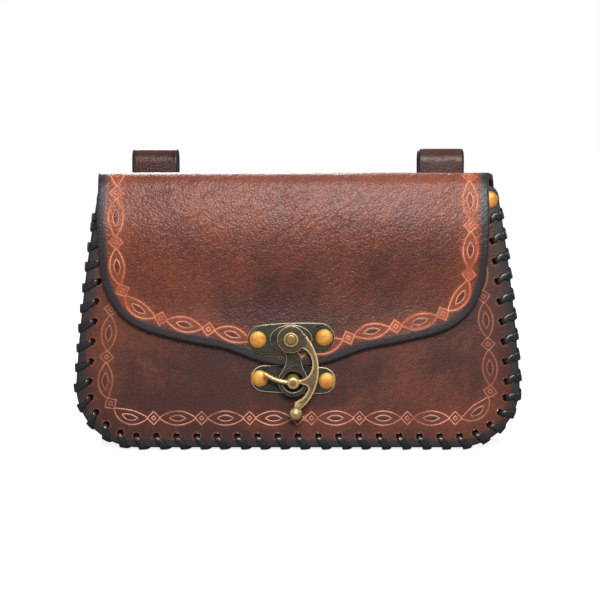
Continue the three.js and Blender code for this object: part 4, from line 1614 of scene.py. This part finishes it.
def build_oblong(node, style, middle):
    """A riveted plate of the clasp, with a bore in its middle and one for each rivet"""
    flat = oblong_outline(style["length"], style["radius"], style["bulge"])
    holes = [ring_points(middle.x, middle.z, style["bore"])]
    for rivet in (centre(node + "_rivet_1"), centre(node + "_rivet_2")):
        holes.append(ring_points(rivet.x, rivet.z, RIVET_BORE, 16))
    front_y = low(node).y
    outline = turned_outline(flat, middle, style["tilt"])
    plate = metal_plate(outline, holes, front_y, high(node).y - front_y, PLATE_ROUNDING)
    finished(plate, node + "_brass", [clasp_brass()], [node])


def build_tab():
    """The tab on the flap's nose: an oval head, a waisted neck and the ring round the post"""
    ring_x, ring_z = POST.x - PIVOT.x, POST.z - PIVOT.z
    neck_x, neck_top, throat, waist = ring_x + 0.3, -8.0, -9.4, -13
    neck_left, neck_right = neck_x - TAB_NECK, neck_x + TAB_NECK
    head = []
    for i in range(41):
        angle = math.radians(-70 + 320 * i / 40)
        head.append(Vector((TAB_HEAD[0] * math.cos(angle), TAB_HEAD[1] * math.sin(angle))))
    side = math.radians(25)
    left = Vector((ring_x - TAB_RING * math.cos(side), ring_z + TAB_RING * math.sin(side)))
    right = Vector((ring_x + TAB_RING * math.cos(side), ring_z + TAB_RING * math.sin(side)))
    outline = joined(
        head,
        bezier([head[-1], (neck_left, neck_top), (neck_left, throat)], 5),
        bezier([(neck_left, throat), (neck_left, waist), left], 10),
        arc((ring_x, ring_z), TAB_RING, 155, 385, 40),
        bezier([right, (neck_right, waist), (neck_right, throat)], 10),
        bezier([(neck_right, throat), (neck_right, neck_top), head[0]], 5)[:-1],
    )
    holes = [ring_points(POST.x, POST.z, TAB_RING_HOLE, 36), ring_points(PIVOT.x, PIVOT.z, PIVOT_BORE)]
    placed = turned_outline(outline, PIVOT, 0)
    front_y = low("clasp_tab").y
    tab = metal_plate(placed, holes, front_y, high("clasp_tab").y - front_y, PLATE_ROUNDING, 0.9)
    finished(tab, "clasp_tab_brass", [clasp_brass()], ["clasp_tab"])


def lever_spur(middle):
    """The lever's round spur, which runs on its circle about the pivot and thins at its tip"""
    spots, sections = [], []
    turns = [math.tau * k / SPUR_SIDES for k in range(SPUR_SIDES)]
    for i in range(SPUR_STEPS + 1):
        angle = math.radians(-90 + 12.5 - 50.5 * i / SPUR_STEPS)
        spots.append(middle + Vector((SPUR_CIRCLE * math.cos(angle), 0, SPUR_CIRCLE * math.sin(angle))))
        tip = smooth_share(i, SPUR_STEPS - 2, SPUR_STEPS + 1)
        radius = SPUR_RADIUS * (1 - 0.35 * tip)
        sections.append([(radius * math.cos(a), radius * math.sin(a)) for a in turns])
    spur = bmesh.new()
    spur.verts.layers.float.new("rim")
    swept(spur, spots, [Vector((0, -1, 0))] * len(spots), sections)
    return spur


def lever_ball(middle):
    knob = bmesh.new()
    knob.verts.layers.float.new("rim")
    turns = [math.radians(10 * k) for k in range(19)]
    profile = [(BALL_RADIUS * math.sin(a), BALL_RADIUS * math.cos(a)) for a in turns]
    spun(knob, profile, middle, axis=(0, -1, 0), steps=28)
    return knob


def build_lever():
    """The lever: a disc on the pivot, a crescent bow, a round spur through the post and a ball"""
    bow_middle, bow_radius = Vector((-12.1, -14.8)), 25.4
    ball = Vector((2.3, -35.9))
    outline = joined(
        arc(bow_middle, bow_radius, 43.5, -42, 40),
        [Vector((ball.x + 1.0, ball.y + 1.0)), Vector((ball.x - 1.0, ball.y + 1.0))],
        bezier([(1.9, -30.4), (7.2, -28.6), (8.4, -23.4)], 12),
        bezier([(8.4, -23.4), (7.6, -22.0), (4.4, -21.4)], 5),
        [Vector((3.4, -21.35)), Vector((3.4, -19.85))],
        bezier([(3.4, -19.85), (9.6, -19.0), (10.3, -12.6)], 12),
        bezier([(10.3, -12.6), (10.3, -6.2), (5.1, -4.1)], 10),
        arc((0, 0), LEVER_DISC, -39, -338, 60),
    )
    placed = turned_outline(list(reversed(outline)), PIVOT, 0)
    bore = [ring_points(PIVOT.x, PIVOT.z, PIVOT_BORE)]
    lever = metal_plate(placed, bore, LEVER_MID_Y - LEVER_THICK / 2, LEVER_THICK, 0.75, 1.05)
    layer = lever.verts.layers.float["rim"]
    middle = Vector((PIVOT.x, LEVER_MID_Y, PIVOT.z))
    ball_middle = middle + Vector((ball.x, 0, ball.y))
    for extra in (lever_spur(middle), lever_ball(ball_middle)):
        bmesh.ops.recalc_face_normals(extra, faces=extra.faces)
        absorb(lever, extra)
    for v in lever.verts:
        from_ball = v.co - ball_middle
        from_pivot = (v.co - middle).length
        if from_ball.length < BALL_RADIUS + 0.05:
            # On the ball the rim fact is set from the angle to the front, which gives a pale ring round a
            # dark middle: a painted highlight laid through the wear mask.
            facing = from_ball.angle(Vector((0, -1, 0))) / (math.pi / 2)
            v[layer] = 1.3 * abs(facing - 0.42)
        elif from_pivot > 12 and v.co.x < POST.x + 3 and v.co.z < PIVOT.z - 15:
            v[layer] = 0.2
        elif from_pivot < LEVER_DISC + 0.3:
            v[layer] *= 2.6
        else:
            v[layer] *= 0.6
    finished(lever, "clasp_lever_brass", [lever_brass()], ["clasp_lever"], "lever", 55)


def build_pivot():
    """The pivot's button: a flat crown with a groove round it"""
    length = high("clasp_pivot").y - low("clasp_pivot").y
    profile = [
        (0, 0.12), (1.6, 0.1), (2.3, 0.12), (2.5, 0.3), (2.75, 0.3), (2.95, 0.05), (3.3, 0.1), (3.52, 0.4),
        (PIVOT_RADIUS, 1.1), (3.45, 1.55), (1.9, 1.6), (1.9, length), (0, length),
    ]
    bm = bmesh.new()
    spun(bm, profile, (PIVOT.x, low("clasp_pivot").y, PIVOT.z), steps=40)
    mark_turned(bm, PIVOT, PIVOT_RADIUS)
    bmesh.ops.recalc_face_normals(bm, faces=bm.faces)
    finished(bm, "clasp_pivot_button", [worn_brass()], ["clasp_pivot"])


def build_post():
    """The post with the hole that the lever's spur slides through"""
    front_y = low("clasp_post").y
    length = high("clasp_post").y - front_y
    profile = [
        (0, 0.02), (1.7, 0.05), (2.4, 0.2), (2.8, 0.55), (2.95, 1.1), (2.95, 6.6), (2.7, 7.2), (2.7, 8.4),
        (2.95, 9.0), (2.95, length - 1.9), (1.5, length - 1.7), (1.5, length), (0, length),
    ]
    bm = bmesh.new()
    spun(bm, profile, (POST.x, front_y, POST.z), steps=36)
    bmesh.ops.recalc_face_normals(bm, faces=bm.faces)
    lean = math.atan2(POST.x - PIVOT.x, PIVOT.z - POST.z)
    turn = Matrix.Translation((POST.x, LEVER_MID_Y, PIVOT.z - SPUR_CIRCLE * math.cos(lean)))
    turn = turn @ Matrix.Rotation(-lean, 4, "Y") @ Matrix.Rotation(math.pi / 2, 4, "Y")
    drill = bmesh.new()
    bmesh.ops.create_cone(
        drill, cap_ends=True, segments=20, radius1=POST_DRILL, radius2=POST_DRILL, depth=14, matrix=turn
    )
    bm = cut_away(bm, drill)
    mark_turned(bm, POST, POST_WORN)
    bmesh.ops.recalc_face_normals(bm, faces=bm.faces)
    finished(bm, "clasp_post_brass", [worn_brass()], ["clasp_post"])


# ---------------------------------------------------------------- stage


WHITE = (1.0, 1.0, 1.0, 1.0)
FLOOR_RADIUS, FLOOR_DROP = 6.0, 0.0002
SKY_STRENGTH = 0.16
# name, place, aim, size and power
LAMPS = (
    ("key", (0.05, -0.42, 0.55), (0, -0.02, 0.1), 0.3, 1.4),
    ("sheen", (0.06, -0.88, 0.49), (0, 0, 0.12), 0.3, 11.8),
    ("top", (0.0, 0.05, 0.8), (0, 0, 0.1), 0.4, 1.1),
    ("left", (-0.85, 0.0, 0.35), (0, 0, 0.07), 0.5, 1.8),
    ("right", (0.85, 0.1, 0.35), (0, 0, 0.07), 0.5, 2.4),
    ("back", (-0.15, 0.75, 0.6), (0, 0, 0.07), 0.45, 8.5),
)
CAMERA_X, CAMERA_LENS = 0.001, 68.4


def aimed(name, data, place, aim):
    """A lamp or camera at its place, turned to its aim"""
    made = bpy.data.objects.new(name, data)
    made.location = place
    made.rotation_euler = (Vector(aim) - Vector(place)).to_track_quat("-Z", "Y").to_euler()
    bpy.context.scene.collection.objects.link(made)
    return made


def plain_floor():
    """A plain floor that fades to white away from the pouch"""

    def build(w, shader):
        vector = object_place(w)
        c = colours().floor
        w.put(shader.inputs["Base Color"], w.mix(w.noise(vector, 3.0, 2.0), rgba(c), rgba(c, 0.985)))
        shader.inputs["Roughness"].default_value = 0.7
        shader.inputs["Specular IOR Level"].default_value = 0.2
        shader.inputs["Emission Color"].default_value = WHITE
        seen = w.node("ShaderNodeLightPath").outputs["Is Camera Ray"]
        away = w.node("ShaderNodeVectorMath", {0: vector}, operation="LENGTH").outputs["Value"]
        w.put(shader.inputs["Emission Strength"], w.times(seen, w.ease(away, 0.15, 0.9, 0.84, 1.0)))

    return material_of("plain_floor", build)


def build_world():
    """A dim white sky that the camera sees as plain white"""
    world = bpy.data.worlds.new("studio")
    world.use_nodes = True
    bpy.context.scene.world = world
    w = Wiring(world.node_tree)
    sky = world.node_tree.nodes["Background"]
    sky.inputs["Color"].default_value = WHITE
    sky.inputs["Strength"].default_value = SKY_STRENGTH
    seen = w.node("ShaderNodeBackground", {"Color": WHITE, "Strength": 1.0})
    path = w.node("ShaderNodeLightPath")
    shown = {0: path.outputs["Is Camera Ray"], 1: sky.outputs[0], 2: seen.outputs[0]}
    both = w.node("ShaderNodeMixShader", shown)
    w.put(world.node_tree.nodes["World Output"].inputs["Surface"], both.outputs[0])
    bpy.context.scene.view_settings.view_transform = "Standard"


def build_stage():
    floor = bmesh.new()
    bmesh.ops.create_circle(floor, cap_ends=True, radius=FLOOR_RADIUS, segments=96)
    mesh = bpy.data.meshes.new("floor")
    floor.to_mesh(mesh)
    floor.free()
    mesh.transform(Matrix.Translation((0, 0, CAD_BOX[0][2] - FLOOR_DROP)))
    mesh.materials.append(plain_floor())
    ground = bpy.data.objects.new("floor", mesh)
    bpy.context.scene.collection.objects.link(ground)
    ground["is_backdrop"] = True
    build_world()

    for name, place, aim, size, power in LAMPS:
        light = bpy.data.lights.new(name, "AREA")
        light.shape = "DISK"
        light.size = size
        light.energy = power
        aimed(name, light, place, aim)

    camera = bpy.data.cameras.new("camera")
    camera.sensor_width = 36
    camera.lens = CAMERA_LENS
    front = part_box("front_panel")[0].y
    lo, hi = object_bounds()
    place = (CAMERA_X, front - sizes().camera_distance, sizes().camera_height)
    bpy.context.scene.camera = aimed("camera", camera, place, (CAMERA_X, front, (lo.z + hi.z) / 2))


# ---------------------------------------------------------------- operators and panel


class PouchOperator:
    """Shared by the pouch's operators: each one runs its make method and stops on an error"""

    bl_options = {"REGISTER", "UNDO"}

    def execute(self, context):
        if "edge" not in SEAMS["front"]:
            prepare_seams()
        self.make()
        return {"FINISHED"}


class POUCH_OT_back_and_flap(PouchOperator, bpy.types.Operator):
    """Build the leather of the back, the fold and the flap with its border"""

    bl_idname = "pouch.back_and_flap"
    bl_label = "Back and flap"

    def make(self):
        build_back_and_flap()


class POUCH_OT_front_panel(PouchOperator, bpy.types.Operator):
    """Build the leather of the front panel with its border"""

    bl_idname = "pouch.front_panel"
    bl_label = "Front panel"

    def make(self):
        build_front_panel()


class POUCH_OT_gusset(PouchOperator, bpy.types.Operator):
    """Build the folded gusset between the two panels"""

    bl_idname = "pouch.gusset"
    bl_label = "Gusset"

    def make(self):
        build_gusset()


class POUCH_OT_lacing(PouchOperator, bpy.types.Operator):
    """Build the two whip-stitched lacings"""

    bl_idname = "pouch.lacing"
    bl_label = "Lacing"

    def make(self):
        build_lace("front")
        build_lace("back")


class POUCH_OT_belt_loops(PouchOperator, bpy.types.Operator):
    """Build the two belt loops on the back"""

    bl_idname = "pouch.belt_loops"
    bl_label = "Belt loops"

    def make(self):
        build_belt_loop("left")
        build_belt_loop("right")


class POUCH_OT_rivets(PouchOperator, bpy.types.Operator):
    """Build the brass rivets and the straps' steel pins"""

    bl_idname = "pouch.rivets"
    bl_label = "Rivets and pins"

    def make(self):
        gold = rivet_brass()
        front = ["corner_rivet_front_left", "corner_rivet_front_right"]
        back = ["corner_rivet_back_left", "corner_rivet_back_right", "loop_rivet_left", "loop_rivet_right"]
        clasp = ["clasp_plate_rivet_1", "clasp_plate_rivet_2", "clasp_foot_rivet_1", "clasp_foot_rivet_2"]
        pins = ["loop_pin_left_1", "loop_pin_left_2", "loop_pin_right_1", "loop_pin_right_2"]
        build_rivets(front, "front_corner_rivets", RIVET, gold, 1)
        build_rivets(back, "back_rivets", RIVET, gold, -1)
        build_rivets(clasp, "clasp_rivets", RIVET, gold, 1)
        build_rivets(pins, "strap_pins", PIN, pin_steel(), -1)


class POUCH_OT_clasp_plates(PouchOperator, bpy.types.Operator):
    """Build the clasp's two riveted plates and its tab"""

    bl_idname = "pouch.clasp_plates"
    bl_label = "Clasp plates and tab"

    def make(self):
        build_oblong("clasp_plate", PLATE, PIVOT)
        build_oblong("clasp_foot", FOOT, POST)
        build_tab()


class POUCH_OT_clasp_lever(PouchOperator, bpy.types.Operator):
    """Build the clasp's lever, pivot and post"""

    bl_idname = "pouch.clasp_lever"
    bl_label = "Clasp lever, pivot and post"

    def make(self):
        build_lever()
        build_pivot()
        build_post()


class POUCH_OT_stage(PouchOperator, bpy.types.Operator):
    """Set up the floor, the lights and the camera"""

    bl_idname = "pouch.stage"
    bl_label = "Floor, lights and camera"

    def make(self):
        build_stage()


OPERATORS = (
    POUCH_OT_back_and_flap,
    POUCH_OT_front_panel,
    POUCH_OT_gusset,
    POUCH_OT_lacing,
    POUCH_OT_belt_loops,
    POUCH_OT_rivets,
    POUCH_OT_clasp_plates,
    POUCH_OT_clasp_lever,
    POUCH_OT_stage,
)


class POUCH_PT_panel(bpy.types.Panel):
    """The pouch's operators, sizes and colours"""

    bl_idname = "POUCH_PT_panel"
    bl_label = "Belt pouch"
    bl_space_type = "VIEW_3D"
    bl_region_type = "UI"
    bl_category = "Pouch"

    def draw(self, context):
        for operator in OPERATORS:
            self.layout.operator(operator.bl_idname)
        for group in (context.scene.pouch_sizes, context.scene.pouch_colours):
            column = self.layout.column()
            for name in group.__annotations__:
                column.prop(group, name)


CLASSES = (PouchSizes, PouchColours, *OPERATORS, POUCH_PT_panel)


def register():
    for cls in CLASSES:
        bpy.utils.register_class(cls)
    bpy.types.Scene.pouch_sizes = PointerProperty(type=PouchSizes)
    bpy.types.Scene.pouch_colours = PointerProperty(type=PouchColours)


def unregister():
    del bpy.types.Scene.pouch_colours
    del bpy.types.Scene.pouch_sizes
    for cls in reversed(CLASSES):
        bpy.utils.unregister_class(cls)


def main():
    register()
    bpy.ops.pouch.back_and_flap()
    bpy.ops.pouch.front_panel()
    bpy.ops.pouch.gusset()
    bpy.ops.pouch.lacing()
    bpy.ops.pouch.belt_loops()
    bpy.ops.pouch.rivets()
    bpy.ops.pouch.clasp_plates()
    bpy.ops.pouch.clasp_lever()
    bpy.ops.pouch.stage()


if __name__ == "__main__":
    main()
